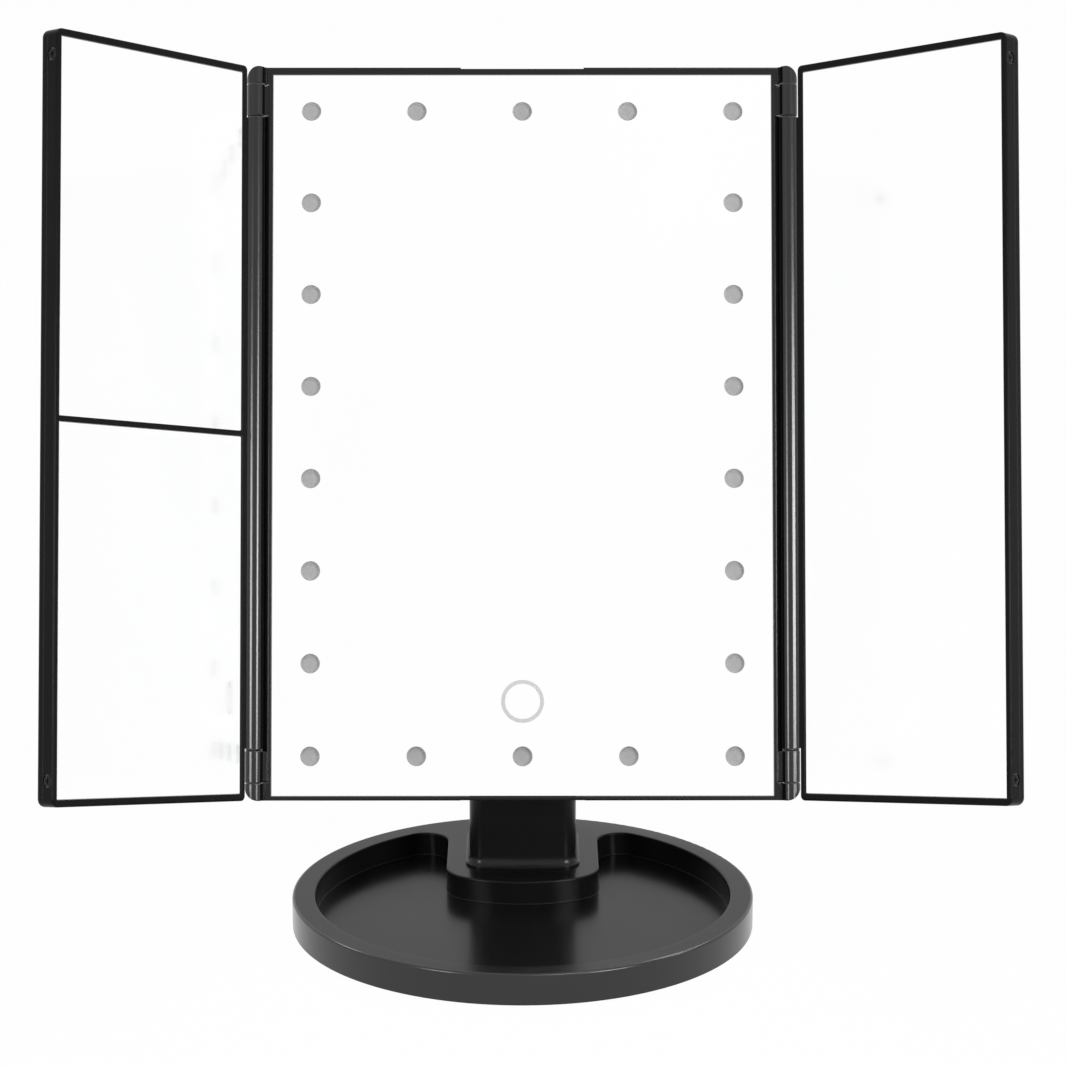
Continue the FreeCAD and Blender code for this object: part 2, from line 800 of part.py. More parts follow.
def wing_frame(side, panes):
    """The front frame of a wing, with its long hinge barrel between the knuckles."""
    body = wing_blank(f"{SIDE_NAMES[side]}_wing_tray", side, wing_seam, wing_frame_depth)
    body_fillet(body, frame_edge_round, is_level_at(panel_depth))
    bed = new_sketch(body, panel_depth)
    for bay in wing_bays(panes, 0):
        draw_rectangle(bed, wing_span(side, wing_near + wing_rim, wing_reach - wing_rim), bay)
    pocket(body, bed, panel_depth - wing_bed)
    start = cap_height + knuckle_length + knuckle_gap
    barrel_y = (start, panel_height - start)
    web_x = wing_span(side, 0, wing_near + wing_rim / 2)
    web_y = (barrel_y[0] + knuckle_round, barrel_y[1] - knuckle_round)
    web = block(web_x, web_y, (hinge_z - barrel_radius, panel_depth))
    sockets = [
        rod("y", from_end(end, start - knuckle_gap, start + pin_reach + knuckle_gap),
            pin_radius + pin_running_gap, x=side * hinge_x, z=hinge_z)
        for end in (LOWER, UPPER)
    ]
    seats = []
    for end in (LOWER, UPPER):
        seat = side_screw_sunk + side_screw_head
        seats.append(side_rod(side, end, -wing_rim, seat, side_screw_radius + screw_seat_gap))
        seats.append(side_rod(side, end, 0, side_screw_reach, side_screw_shank + screw_fit_gap))
    return cut(join(body, web, barrel(side, barrel_y)), *sockets, *seats)


def wing_back(side):
    """The back cover of a wing, a thin shell that closes the frame."""
    body = wing_blank(f"{SIDE_NAMES[side]}_wing_shell", side, wing_back_z, wing_depth - wing_frame_depth)
    body_fillet(body, wing_back_round, is_level_at(wing_back_z))
    hollow = new_sketch(body, wing_seam)
    inside = wing_span(side, wing_near + wing_back_wall, wing_reach - wing_back_wall)
    draw_rectangle(hollow, inside, (wing_back_wall, panel_height - wing_back_wall))
    pocket(body, hollow, wing_depth - wing_frame_depth - wing_back_wall)
    return body


def wing_pane(side, bay):
    body = new_body("wing_pane")
    outline = new_sketch(body, wing_pane_bottom)
    inset = wing_rim + mirror_gap
    draw_rectangle(outline, wing_span(side, wing_near + inset, wing_reach - inset), bay)
    pad(body, outline, wing_mirror_thickness)
    body_fillet(body, pane_round, is_upright)
    return body


def wing_tape(side, bay):
    inset = wing_rim + mirror_gap + tape_inset
    return block(wing_span(side, wing_near + inset, wing_reach - inset), bay, (wing_bed, wing_pane_bottom))


PANE_NAMES = {-1: ["left_lower_mirror", "left_upper_mirror"], 1: ["right_mirror"]}
for side, pane_names in PANE_NAMES.items():
    wing = SIDE_NAMES[side]
    place = wing_placement(side, SWINGS[side])
    panes = len(pane_names)
    keep(wing_frame(side, panes), f"{wing}_wing_frame", place)
    keep(wing_back(side), f"{wing}_wing_back", place)
    for pane_name, bay in zip(pane_names, wing_bays(panes, mirror_gap)):
        keep(wing_pane(side, bay), pane_name, place)
    tapes = [wing_tape(side, bay) for bay in wing_bays(panes, mirror_gap + tape_inset)]
    keep(group(*tapes), f"{wing}_wing_tape", place)
    keep(group(side_screw(side, LOWER), side_screw(side, UPPER)), f"{wing}_wing_screws", place)


# Tilt pivot: bracket on the head, bolt, nut, friction washers and plugs in the post's ears

shaft_radius = size("shaft_radius", 2.5)
shaft_fixed_gap = size("shaft_fixed_gap", 0.02)
shaft_running_gap = size("shaft_running_gap", 0.05)
tilt_barrel_radius = size("tilt_barrel_radius", 6.0)
washer_radius = size("washer_radius", 5.8)
washer_thickness = size("washer_thickness", 0.8)
tilt_gap = size("tilt_gap", 0.1)
bolt_head_radius = size("bolt_head_radius", 4.2)
bolt_head_height = size("bolt_head_height", 2.0)
bolt_seat_gap = size("bolt_seat_gap", 0.2)
plug_thickness = size("plug_thickness", 1.2)

ear_inner_x = post_width / 2 - ear_thickness
seat_x = post_width / 2 - plug_thickness - bolt_head_height
plug_x = post_width / 2 - plug_thickness


def tilt_bracket():
    length = centred(2 * (ear_inner_x - washer_thickness - tilt_gap))
    plate = block(centred(bracket_width), bracket_y, (-bracket_plate, 0))
    barrel = rod("x", length, tilt_barrel_radius, y=tilt_height, z=-tilt_offset)
    web_y = (tilt_height - tilt_barrel_radius, tilt_height + tilt_barrel_radius)
    web = block(centred(bracket_width), web_y, (-tilt_offset, -bracket_plate))
    holes = [rod("x", centred(post_width), shaft_radius + shaft_running_gap, y=tilt_height, z=-tilt_offset)]
    for x, y in BRACKET_SCREWS:
        holes.append(rod("z", (-2 * bracket_plate, back_wall), screw_radius + screw_seat_gap, x=x, y=y))
    return cut(join(plate, web, barrel), *holes)


def pivot_rod(x, radius):
    return rod("x", x, radius, y=pivot_y, z=pivot_height)


def tilt_bolt():
    shank = pivot_rod((-seat_x, plug_x), shaft_radius)
    return join(shank, pivot_rod((-plug_x, -seat_x), bolt_head_radius))


def tilt_nut():
    prism = doc.addObject("Part::Prism", "nut_blank")
    prism.Polygon = 6
    bind(prism, "Circumradius", bolt_head_radius)
    bind(prism, "Height", bolt_head_height)
    prism.Placement = FreeCAD.Placement(FreeCAD.Vector(), ROD_TURN["x"])
    bind(prism, "Placement.Base.x", seat_x)
    bind(prism, "Placement.Base.y", pivot_y)
    bind(prism, "Placement.Base.z", pivot_height)
    return cut(prism, pivot_rod((ear_inner_x, post_width), shaft_radius + shaft_fixed_gap))


def washer(side):
    ring_x = sided(side, ear_inner_x - washer_thickness, ear_inner_x)
    hole = pivot_rod(centred(post_width), shaft_radius + shaft_fixed_gap)
    return cut(pivot_rod(ring_x, washer_radius), hole)


def pivot_plug(side):
    return pivot_rod(sided(side, plug_x, post_width / 2), bolt_head_radius)


keep(tilt_bracket(), "tilt_bracket", HEAD)
keep(
    group(*[
        screw(x, y, -bracket_plate, bracket_screw_reach - screw_seat_gap) for x, y in BRACKET_SCREWS
    ]),
    "bracket_screws",
    HEAD,
)
keep(tilt_bolt(), "tilt_bolt")
keep(tilt_nut(), "tilt_nut")
keep(group(washer(-1), washer(1)), "friction_washers")
keep(group(pivot_plug(-1), pivot_plug(1)), "pivot_plugs")


# Cells, contacts and the battery door in the back of the post

cell_radius = size("cell_radius", 7.1)
cell_length = size("cell_length", 50.5)
cell_nub_radius = size("cell_nub_radius", 2.7)
cell_nub_height = size("cell_nub_height", 1.0)
cell_gap = size("cell_gap", 0.3)
cell_clearance = size("cell_clearance", 0.6)
leaf_height = size("leaf_height", 4.8)
leaf_width = size("leaf_width", 8.0)
contact_thickness = size("contact_thickness", 0.4)
door_thickness = size("door_thickness", 1.8)
door_gap = size("door_gap", 0.2)
door_sill = size("door_sill", 3.8)
door_pin_radius = size("door_pin_radius", 0.7)
door_pin_length = size("door_pin_length", 1.2)
door_pin_gap = size("door_pin_gap", 0.05)
grip_width = size("grip_width", 11.0)
grip_height = size("grip_height", 0.8)
grip_depth = size("grip_depth", 0.5)
grip_pitch = size("grip_pitch", 2.0)
GRIP_LINES = 3

cell_x = cell_radius + cell_gap / 2
bay_x = centred(2 * (2 * cell_radius + cell_clearance) + cell_gap)
bay_floor = rim_top + post_floor
cell_base = bay_floor + leaf_height
bay_ceiling = cell_base + cell_length + contact_thickness
door_inner_y = post_back - door_thickness
bay_back = door_inner_y - door_gap
bay_front = bay_back - 4 * cell_radius - 2 * cell_gap
sill_z = rim_top + door_sill
door_axis_y = post_back - door_thickness / 2
door_axis_z = sill_z + door_gap + door_thickness / 2
door_x = (bay_x[0] + door_gap, bay_x[1] - door_gap)
CELLS = [
    (side * cell_x, bay_front + cell_gap / 2 + cell_radius + row * (2 * cell_radius + cell_gap))
    for side in (-1, 1)
    for row in (0, 1)
]


def cell(x, y):
    shoulder = cell_base + cell_length - cell_nub_height
    can = rod("z", (cell_base, shoulder), cell_radius, x=x, y=y)
    nub = rod("z", (shoulder, cell_base + cell_length), cell_nub_radius, x=x, y=y)
    return join(can, nub)


def contact_leaf(x, y):
    """A strip bent into a C, which presses on the foot of a cell."""
    strip_x = (x - leaf_width / 2, x + leaf_width / 2)
    strip_y = (y - leaf_width / 2, y + leaf_width / 2)
    foot = block(strip_x, strip_y, (bay_floor, bay_floor + contact_thickness))
    top = block(strip_x, strip_y, (cell_base - contact_thickness, cell_base))
    bend = block(strip_x, (strip_y[0], strip_y[0] + contact_thickness), (bay_floor, cell_base))
    return join(foot, top, bend)


def contact_plate(x, y):
    strip_x = (x - leaf_width / 2, x + leaf_width / 2)
    strip_y = (y - leaf_width / 2, y + leaf_width / 2)
    return block(strip_x, strip_y, (bay_ceiling - contact_thickness, bay_ceiling))


def door_pin(side, gap):
    """A hinge pin at a lower corner of the door, or its socket when a gap is given."""
    pin_x = sided(side, door_x[1] - gap, door_x[1] + door_pin_length + gap)
    return rod("x", pin_x, door_pin_radius + gap, y=door_axis_y, z=door_axis_z)


def battery_door():
    door_top = bay_ceiling - door_gap
    panel = block(door_x, (door_inner_y, post_back), (door_axis_z, door_top))
    foot = rod("x", door_x, door_thickness / 2, y=door_axis_y, z=door_axis_z)
    grooves = []
    for line in range(GRIP_LINES):
        low = door_top - (line + 2) * grip_pitch
        groove_y = (post_back - grip_depth, post_back + grip_depth)
        grooves.append(block(centred(grip_width), groove_y, (low, low + grip_height)))
    pins = [door_pin(side, 0) for side in (-1, 1)]
    return join(cut(join(panel, foot), *grooves), *pins)


keep(group(*[cell(x, y) for x, y in CELLS]), "battery_cells")
keep(group(*[contact_leaf(x, y) for x, y in CELLS]), "contact_leaves")
keep(group(*[contact_plate(x, y) for x, y in CELLS]), "contact_plates")
keep(battery_door(), "battery_door")


# Post: a hollow column with a rounded front, a flared foot and two ears for the pivot

post_front_radius = size("post_front_radius", 150.0)
post_corner_round = size("post_corner_round", 5.0)
post_back_round = size("post_back_round", 2.0)
flare_width = size("flare_width", 1.3)
flare_ring = size("flare_ring", 0.8)
flare_lip = size("flare_lip", 0.2)
flare_height = size("flare_height", 3.6)
post_boss_radius = size("post_boss_radius", 2.6)
post_boss_height = size("post_boss_height", 3.8)
post_boss_inset = size("post_boss_inset", 6.5)

post_top = bay_ceiling + post_top_wall
POST_BOSS_YS = (bay_front + post_boss_inset, bay_back - post_boss_inset)


def post_outline(z, grow):
    """The column's section between two heights, grown all round by a margin."""
    sides = centred(post_width + 2 * grow)
    slab = block(sides, (post_front - post_front_radius / 4, post_back + grow), z)
    crown_radius = post_front_radius + grow
    crown = rod("z", z, crown_radius, y=post_front + post_front_radius)
    prism = overlap(slab, crown)

    def is_front_corner(edge):
        return is_upright(edge) and middle(edge).y < post_front.value + post_depth.value / 2

    def is_back_corner(edge):
        return is_upright(edge) and middle(edge).y > post_front.value + post_depth.value / 2

    prism = round_edges(prism, post_corner_round + grow, is_front_corner)
    return round_edges(prism, post_back_round + grow, is_back_corner)


def post_shell():
    ear_top = pivot_height + ear_radius
    width = centred(post_width)
    ear_y = (post_front, post_front + 2 * ear_radius)
    side_view = join(
        block(width, (post_front, post_back), (rim_top, post_top)),
        block(width, ear_y, (rim_top, pivot_height)),
        pivot_rod(width, ear_radius),
    )
    column = overlap(post_outline((rim_top, ear_top), 0 * flare_width), side_view)
    foot_top = rim_top + flare_ring
    flare_top = foot_top + flare_height
    spread = flare_width - flare_lip
    flare = blend(
        post_outline((foot_top, flare_top), spread),
        post_outline((foot_top + flare_height / 4, flare_top), spread * 0.42),
        post_outline((foot_top + flare_height / 2, flare_top), spread * 0.15),
        post_outline((flare_top, flare_top + flare_height), 0 * spread),
    )
    flared = join(column, flare, post_outline((rim_top, foot_top), flare_width))
    bay_z = (bay_floor, bay_ceiling)
    hollows = [
        block(centred(2 * ear_inner_x), (0, post_back * 2), (post_top, ear_top + ear_radius)),
        block(bay_x, (bay_front, bay_back), bay_z),
        block(bay_x, (bay_back - cell_gap, post_back + post_depth), (sill_z, bay_ceiling)),
    ]
    hollows.append(pivot_rod(centred(post_width * 2), shaft_radius + shaft_fixed_gap))
    for side in (-1, 1):
        seat = sided(side, seat_x, post_width)
        hollows.append(pivot_rod(seat, bolt_head_radius + bolt_seat_gap))
        hollows.append(door_pin(side, door_pin_gap))
    shell = cut(flared, *hollows)
    boss_z = (bay_floor - post_floor / 2, bay_floor + post_boss_height)
    bosses = [rod("z", boss_z, post_boss_radius, y=y) for y in POST_BOSS_YS]
    bore_z = (0, boss_z[1] - screw_seat_gap)
    bores = [rod("z", bore_z, screw_radius + screw_fit_gap, y=y) for y in POST_BOSS_YS]
    return cut(join(shell, *bosses), *bores)


keep(post_shell(), "post_shell")


# Base tray: a rim round a shallow tray, with a solid-topped tongue at the back that carries the post

tongue_width = size("tongue_width", 50.8)
tongue_reach = size("tongue_reach", 13.7)
tongue_front_radius = size("tongue_front_radius", 42.0)
tongue_corner_round = size("tongue_corner_round", 12.5)
tray_ear_round = size("tray_ear_round", 8.0)
rim_edge_round = size("rim_edge_round", 0.8)
tray_edge_round = size("tray_edge_round", 0.5)
cover_boss_x = size("cover_boss_x", 18.5)
cover_boss_behind = size("cover_boss_behind", 16.2)
cover_boss_inset = size("cover_boss_inset", 17.0)
cover_gap = size("cover_gap", 0.2)
cover_screw_reach = size("cover_screw_reach", 5.0)

tray_radius = base_radius - rim_width
top_under = rim_top - base_wall
tongue_front = post_front - tongue_reach
COVER_BOSS_YS = (tongue_front + cover_boss_behind, base_radius - cover_boss_inset)
BASE_BOSSES = [(side * cover_boss_x, y) for side in (-1, 1) for y in COVER_BOSS_YS]


def tray_hollow(z, grow):
    """The tray's hollow round the tongue, grown outwards by a margin."""
    disc = rod("z", z, tray_radius + grow)
    width = centred(tongue_width - 2 * grow)
    crown_y = tongue_front + tongue_front_radius
    crown = rod("z", z, tongue_front_radius - grow, y=crown_y)
    nose = overlap(block(width, (tongue_front - tongue_reach, base_radius * 2), z), crown)
    tongue = join(nose, block(width, (crown_y, base_radius * 2), z))

    def is_tongue_corner(edge):
        return is_upright(edge) and middle(edge).y < tongue_front.value + tongue_front_radius.value / 2

    tongue = round_edges(tongue, tongue_corner_round - grow, is_tongue_corner)
    hollow = cut(disc, tongue)

    def is_tray_ear(edge):
        return is_upright(edge) and middle(edge).y > tongue_front.value + tongue_front_radius.value / 2

    return round_edges(hollow, tray_ear_round + grow, is_tray_ear)


# Inlet, switch and power board behind the post, inside the hollow rim

supply_board_width = size("supply_board_width", 32.0)
supply_board_depth = size("supply_board_depth", 11.0)
supply_board_inset = size("supply_board_inset", 4.0)
supply_rib = size("supply_rib", 1.2)
supply_rib_width = size("supply_rib_width", 3.0)
inlet_x = size("inlet_x", -9.0)
inlet_width = size("inlet_width", 7.4)
inlet_height = size("inlet_height", 2.6)
inlet_depth = size("inlet_depth", 5.4)
inlet_sheet = size("inlet_sheet", 0.35)
inlet_tongue = size("inlet_tongue", 0.6)
inlet_setback = size("inlet_setback", 0.8)
slider_x = size("slider_x", 9.0)
slider_body_width = size("slider_body_width", 8.6)
slider_body_depth = size("slider_body_depth", 4.5)
slider_body_height = size("slider_body_height", 3.6)
slider_width = size("slider_width", 2.8)
slider_height = size("slider_height", 1.8)
slider_travel = size("slider_travel", 2.2)
slider_gap = size("slider_gap", 0.15)
slider_root = size("slider_root", 1.5)
slider_proud = size("slider_proud", 1.0)
window_gap = size("window_gap", 0.4)

board_low = cover_top + supply_rib
board_high = board_low + board_thickness
board_back = base_radius - supply_board_inset
supply_board_front = board_back - supply_board_depth
inlet_back = base_radius - inlet_setback
inlet_span = (inlet_x - inlet_width / 2, inlet_x + inlet_width / 2)
inlet_z = (board_high, board_high + inlet_height)
slider_low = board_high + (slider_body_height - slider_height) / 2
slider_z = (slider_low, slider_low + slider_height)
slider_centre = slider_x - slider_travel / 2
slider_rest = (slider_centre - slider_width / 2, slider_centre + slider_width / 2)
slider_sweep = (slider_rest[0] - slider_gap, slider_rest[1] + slider_travel + slider_gap)


def widened(span, margin):
    return (span[0] - margin, span[1] + margin)


def base_tray():
    skirt_z = skirt_clearance
    disc = rod("z", (skirt_z, rim_top), base_radius)
    disc = round_edges(disc, rim_edge_round, is_level_at(rim_top))
    past = (tray_top, rim_top + tray_depth)
    body = cut(disc, tray_hollow(past, 0 * base_wall))

    def is_tray_edge(edge):
        reach = max(math.hypot(point.x, point.y) for point in (middle(edge), *corners(edge)))
        return is_level_at(rim_top)(edge) and reach < tray_radius.value + TOUCH

    body = round_edges(body, tray_edge_round, is_tray_edge)
    inner = rod("z", (cover_top, top_under), base_radius - base_wall)
    hollow_rim = cut(inner, tray_hollow((0 * cover_top, rim_top), base_wall))
    cover_seat = rod("z", (0, cover_top), base_radius - base_wall)
    wall_y = (board_back, base_radius * 2)
    windows = [
        block(widened(inlet_span, window_gap), wall_y, widened(inlet_z, window_gap)),
        block(widened(slider_sweep, window_gap), wall_y, widened(slider_z, window_gap)),
    ]
    shell = cut(body, hollow_rim, cover_seat, *windows)
    bosses = [rod("z", (cover_top, rim_top - base_wall / 2), boss_radius, x=x, y=y) for x, y in BASE_BOSSES]
    bore_z = (0, cover_top + cover_screw_reach)
    bores = [rod("z", bore_z, screw_radius + screw_fit_gap, x=x, y=y) for x, y in BASE_BOSSES]
    bores += [rod("z", (0, rim_top * 2), screw_radius + screw_seat_gap, y=y) for y in POST_BOSS_YS]
    return cut(join(shell, *bosses), *bores)


def base_cover():
    body = new_body("base_plate")
    outline = new_sketch(body, foot_height)
    draw_circle(outline, 0, 0, base_radius - base_wall - cover_gap)
    pad(body, outline, cover_thickness)
    passages = new_sketch(body, cover_top)
    seats = new_sketch(body, foot_height + screw_head_height)
    for x, y in BASE_BOSSES:
        draw_circle(passages, x, y, screw_radius + screw_seat_gap)
        draw_circle(seats, x, y, screw_head_radius + screw_seat_gap)
    pocket(body, passages, cover_thickness)
    pocket(body, seats, screw_head_height)
    ribs = new_sketch(body, cover_top)
    rib_y = (supply_board_front, board_back)
    for side in (-1, 1):
        edge = supply_board_width / 2
        draw_rectangle(ribs, sided(side, edge - supply_rib_width, edge), rib_y)
    pad(body, ribs, supply_rib)
    return body


def inlet_socket():
    """A sheet-metal socket shell, open at the back of the base, with the contact tongue inside."""
    shell = block(inlet_span, (inlet_back - inlet_depth, inlet_back), inlet_z)
    mouth_y = (inlet_back - inlet_depth + inlet_sheet * 3, inlet_back + inlet_depth)
    mouth = block(widened(inlet_span, -inlet_sheet), mouth_y, widened(inlet_z, -inlet_sheet))
    tongue_low = board_high + (inlet_height - inlet_tongue) / 2
    tongue_span = (inlet_x - inlet_width / 4, inlet_x + inlet_width / 4)
    tongue_y = (inlet_back - inlet_depth + inlet_sheet, inlet_back - inlet_sheet * 3)
    return join(cut(shell, mouth), block(tongue_span, tongue_y, (tongue_low, tongue_low + inlet_tongue)))


slider_front = board_back + inlet_sheet
slider_root_y = slider_front - slider_root


def slider_body():
    span = (slider_x - slider_body_width / 2, slider_x + slider_body_width / 2)
    depth = (slider_front - slider_body_depth, slider_front)
    case = block(span, depth, (board_high, board_high + slider_body_height))
    slot_y = (slider_root_y - slider_gap, slider_front + slider_root)
    return cut(case, block(slider_sweep, slot_y, widened(slider_z, slider_gap)))


def slider_knob():
    return block(slider_rest, (slider_root_y, base_radius + slider_proud), slider_z)


keep(base_tray(), "base_tray")
keep(base_cover(), "base_cover")
keep(
    group(*[
        screw(x, y, foot_height + screw_head_height, cover_top + cover_screw_reach - screw_seat_gap)
        for x, y in BASE_BOSSES
    ]),
    "base_screws",
)
keep(
    group(*[
        screw(0, y, top_under, bay_floor + post_boss_height - 2 * screw_seat_gap) for y in POST_BOSS_YS
    ]),
    "post_screws",
)
keep(
    block(centred(supply_board_width), (supply_board_front, board_back), (board_low, board_high)),
    "supply_board",
)
keep(inlet_socket(), "inlet_socket")
keep(slider_body(), "switch_body")
keep(slider_knob(), "switch_knob")


# Rubber feet stuck under the base cover: four near its edge and one in the middle

foot_radius = size("foot_radius", 6.0)
foot_inset = size("foot_inset", 14.2)

foot_place = (base_radius - foot_inset) * math.sqrt(0.5)
FOOT_PLACES = [(across * foot_place, along * foot_place) for across in (-1, 1) for along in (-1, 1)]
FOOT_PLACES.append((0, 0))

keep(group(*[rod("z", (0, foot_height), foot_radius, x=x, y=y) for x, y in FOOT_PLACES]), "rubber_feet")


# Every object has to come out sound before anything is written

doc.recompute()
for piece in doc.Objects:
    if "Invalid" in piece.State or "Error" in piece.State:
        raise RuntimeError(f"{piece.Name} ({piece.Label}) failed: {piece.State}")
os.makedirs("parts", exist_ok=True)
for piece in nodes:
    if piece.Shape.isNull() or not piece.Shape.isValid() or not piece.Shape.Solids:
        raise RuntimeError(f"{piece.Label} has no valid solid")
for piece in nodes:
    piece.Shape.exportStep(os.path.join("parts", f"{piece.Label}.step"))
    box = piece.Shape.optimalBoundingBox()
    print(
        f"{piece.Label}: {len(piece.Shape.Solids)} solids, {piece.Shape.Volume:.1f} mm3, "
        f"x {box.XMin:.1f} to {box.XMax:.1f}, y {box.YMin:.1f} to {box.YMax:.1f}, "
        f"z {box.ZMin:.1f} to {box.ZMax:.1f}"
    )
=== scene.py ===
import math

import bmesh
import bpy
from mathutils import Matrix, Vector


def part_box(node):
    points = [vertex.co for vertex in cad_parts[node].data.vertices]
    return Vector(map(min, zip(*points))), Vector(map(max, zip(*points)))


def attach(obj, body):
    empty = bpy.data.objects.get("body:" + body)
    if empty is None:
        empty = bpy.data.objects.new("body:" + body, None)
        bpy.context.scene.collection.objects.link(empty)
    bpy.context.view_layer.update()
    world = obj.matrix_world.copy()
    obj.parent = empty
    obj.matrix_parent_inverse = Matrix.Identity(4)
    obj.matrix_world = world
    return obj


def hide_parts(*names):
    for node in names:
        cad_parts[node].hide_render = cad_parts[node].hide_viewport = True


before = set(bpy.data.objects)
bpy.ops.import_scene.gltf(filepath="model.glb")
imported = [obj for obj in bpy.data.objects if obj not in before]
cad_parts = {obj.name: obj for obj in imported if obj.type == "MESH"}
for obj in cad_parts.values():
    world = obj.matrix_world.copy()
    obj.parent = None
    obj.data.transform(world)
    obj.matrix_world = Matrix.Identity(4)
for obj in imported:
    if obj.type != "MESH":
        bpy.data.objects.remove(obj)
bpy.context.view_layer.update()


# Rubber feet: five soft black pads under the base, four near its edge and one in the middle.
# Each is moulded with a rounded lower edge and a dished sole, and is stuck on with adhesive.

BASE_RADIUS = 0.075
FOOT_INSET = 0.0142
FOOT_PLACE = (BASE_RADIUS - FOOT_INSET) * math.sqrt(0.5)
FOOT_RADIUS = 0.006
FOOT_HEIGHT = 0.001
FOOT_RIM = 0.0014
FOOT_SLOPE = 0.0004
FOOT_DISH = 0.00025
FOOT_ROUND = 0.0004


def start_clean():
    """Leaves nothing selected, so that the next operator acts on the new piece alone."""
    bpy.ops.object.select_all(action="DESELECT")


def take_up(piece):
    """Selects one piece alone and makes it the active one."""
    start_clean()
    piece.select_set(True)
    bpy.context.view_layer.objects.active = piece


def pick(piece, kind, test):
    """In edit mode, selects only those faces or edges of the piece that pass a test."""
    bpy.ops.mesh.select_mode(type=kind)
    bpy.ops.mesh.select_all(action="DESELECT")
    shape = bmesh.from_edit_mesh(piece.data)
    for item in shape.faces if kind == "FACE" else shape.edges:
        if test(item):
            item.select_set(True)
    bmesh.update_edit_mesh(piece.data)


def facing(*way):
    """A test for faces that look one way."""
    return lambda face: face.normal.dot(Vector(way)) > 0.9


def all_at(height):
    """A test for edges that lie wholly at one height."""
    return lambda edge: all(abs(vert.co.z - height) < 1e-6 for vert in edge.verts)


def rim_at(height, radius):
    """A test for edges at one height that start on the rim of a round piece."""
    return lambda edge: all_at(height)(edge) and edge.verts[0].co.xy.length > radius - 1e-4


def smooth(piece, degrees=35):
    """Shades a piece smooth, except over edges that are sharper than an angle."""
    bpy.ops.object.mode_set(mode="OBJECT")
    take_up(piece)
    bpy.ops.object.shade_smooth_by_angle(angle=math.radians(degrees))


def copy_of(piece):
    """A copy of a modelled piece with a mesh of its own."""
    take_up(piece)
    bpy.ops.object.duplicate(linked=False)
    return bpy.context.object


def fit(piece, name, place, material, body, node=None):
    """Puts a modelled piece in its place, with the place in its mesh.

    It stands instead of its CAD node, if it has one.
    """
    piece.name = name
    piece.data.name = name
    piece.matrix_world = place
    take_up(piece)
    bpy.ops.object.transform_apply(location=True, rotation=True, scale=True)
    piece.data.materials.clear()
    piece.data.materials.append(material)
    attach(piece, body)
    if node:
        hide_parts(node)


def new_group(name, inputs, outputs):
    """An empty shader node group with number inputs, and its entry and exit."""
    group = bpy.data.node_groups.new(name, "ShaderNodeTree")
    for label in inputs:
        group.interface.new_socket(label, in_out="INPUT", socket_type="NodeSocketFloat")
    for label, kind in outputs.items():
        group.interface.new_socket(label, in_out="OUTPUT", socket_type=kind)
    return group, group.nodes.new("NodeGroupInput"), group.nodes.new("NodeGroupOutput")


def grained_skin_group():
    """Fine grain of a moulded skin, slow unevenness, and edges that are softly rounded."""
    group, entry, leave = new_group(
        "grained_skin",
        ["Grain Scale", "Grain Depth", "Edge Radius"],
        {"Normal": "NodeSocketVector", "Mottle": "NodeSocketFloat", "Edge": "NodeSocketFloat"},
    )
    nodes, links = group.nodes, group.links
    place = nodes.new("ShaderNodeTexCoord")
    grain = nodes.new("ShaderNodeTexNoise")
    grain.inputs["Detail"].default_value = 2.0
    mottle = nodes.new("ShaderNodeTexNoise")
    mottle.inputs["Scale"].default_value = 42.0
    mottle.inputs["Detail"].default_value = 3.0
    rounded = nodes.new("ShaderNodeBevel")
    rounded.samples = 6
    bump = nodes.new("ShaderNodeBump")
    surface = nodes.new("ShaderNodeNewGeometry")
    turn = nodes.new("ShaderNodeVectorMath")
    turn.operation = "DOT_PRODUCT"
    edge = nodes.new("ShaderNodeMapRange")
    edge.inputs["From Min"].default_value = 0.995
    edge.inputs["From Max"].default_value = 0.85
    links.new(place.outputs["Object"], grain.inputs["Vector"])
    links.new(place.outputs["Object"], mottle.inputs["Vector"])
    links.new(entry.outputs["Grain Scale"], grain.inputs["Scale"])
    links.new(entry.outputs["Edge Radius"], rounded.inputs["Radius"])
    links.new(entry.outputs["Grain Depth"], bump.inputs["Distance"])
    links.new(grain.outputs["Fac"], bump.inputs["Height"])
    links.new(rounded.outputs["Normal"], bump.inputs["Normal"])
    links.new(rounded.outputs["Normal"], turn.inputs[0])
    links.new(surface.outputs["Normal"], turn.inputs[1])
    links.new(turn.outputs["Value"], edge.inputs["Value"])
    links.new(bump.outputs["Normal"], leave.inputs["Normal"])
    links.new(mottle.outputs["Fac"], leave.inputs["Mottle"])
    links.new(edge.outputs["Result"], leave.inputs["Edge"])
    return group


GRAINED_SKIN = grained_skin_group()


def grained(nodes, scale, depth, edge_radius):
    """The grain group in a material, with that material's own values."""
    skin = nodes.new("ShaderNodeGroup")
    skin.node_tree = GRAINED_SKIN
    skin.inputs["Grain Scale"].default_value = scale
    skin.inputs["Grain Depth"].default_value = depth
    skin.inputs["Edge Radius"].default_value = edge_radius
    return skin


def new_material(name):
    """An empty material with its shader joined to its output."""
    material = bpy.data.materials.new(name)
    material.use_nodes = True
    nodes, links = material.node_tree.nodes, material.node_tree.links
    nodes.clear()
    shader = nodes.new("ShaderNodeBsdfPrincipled")
    output = nodes.new("ShaderNodeOutputMaterial")
    links.new(shader.outputs["BSDF"], output.inputs["Surface"])
    return material, shader, nodes, links


# A noise pattern keeps to its middle values, nearly all of them between these two.
PATTERN_LOW = 0.25
PATTERN_HIGH = 0.75


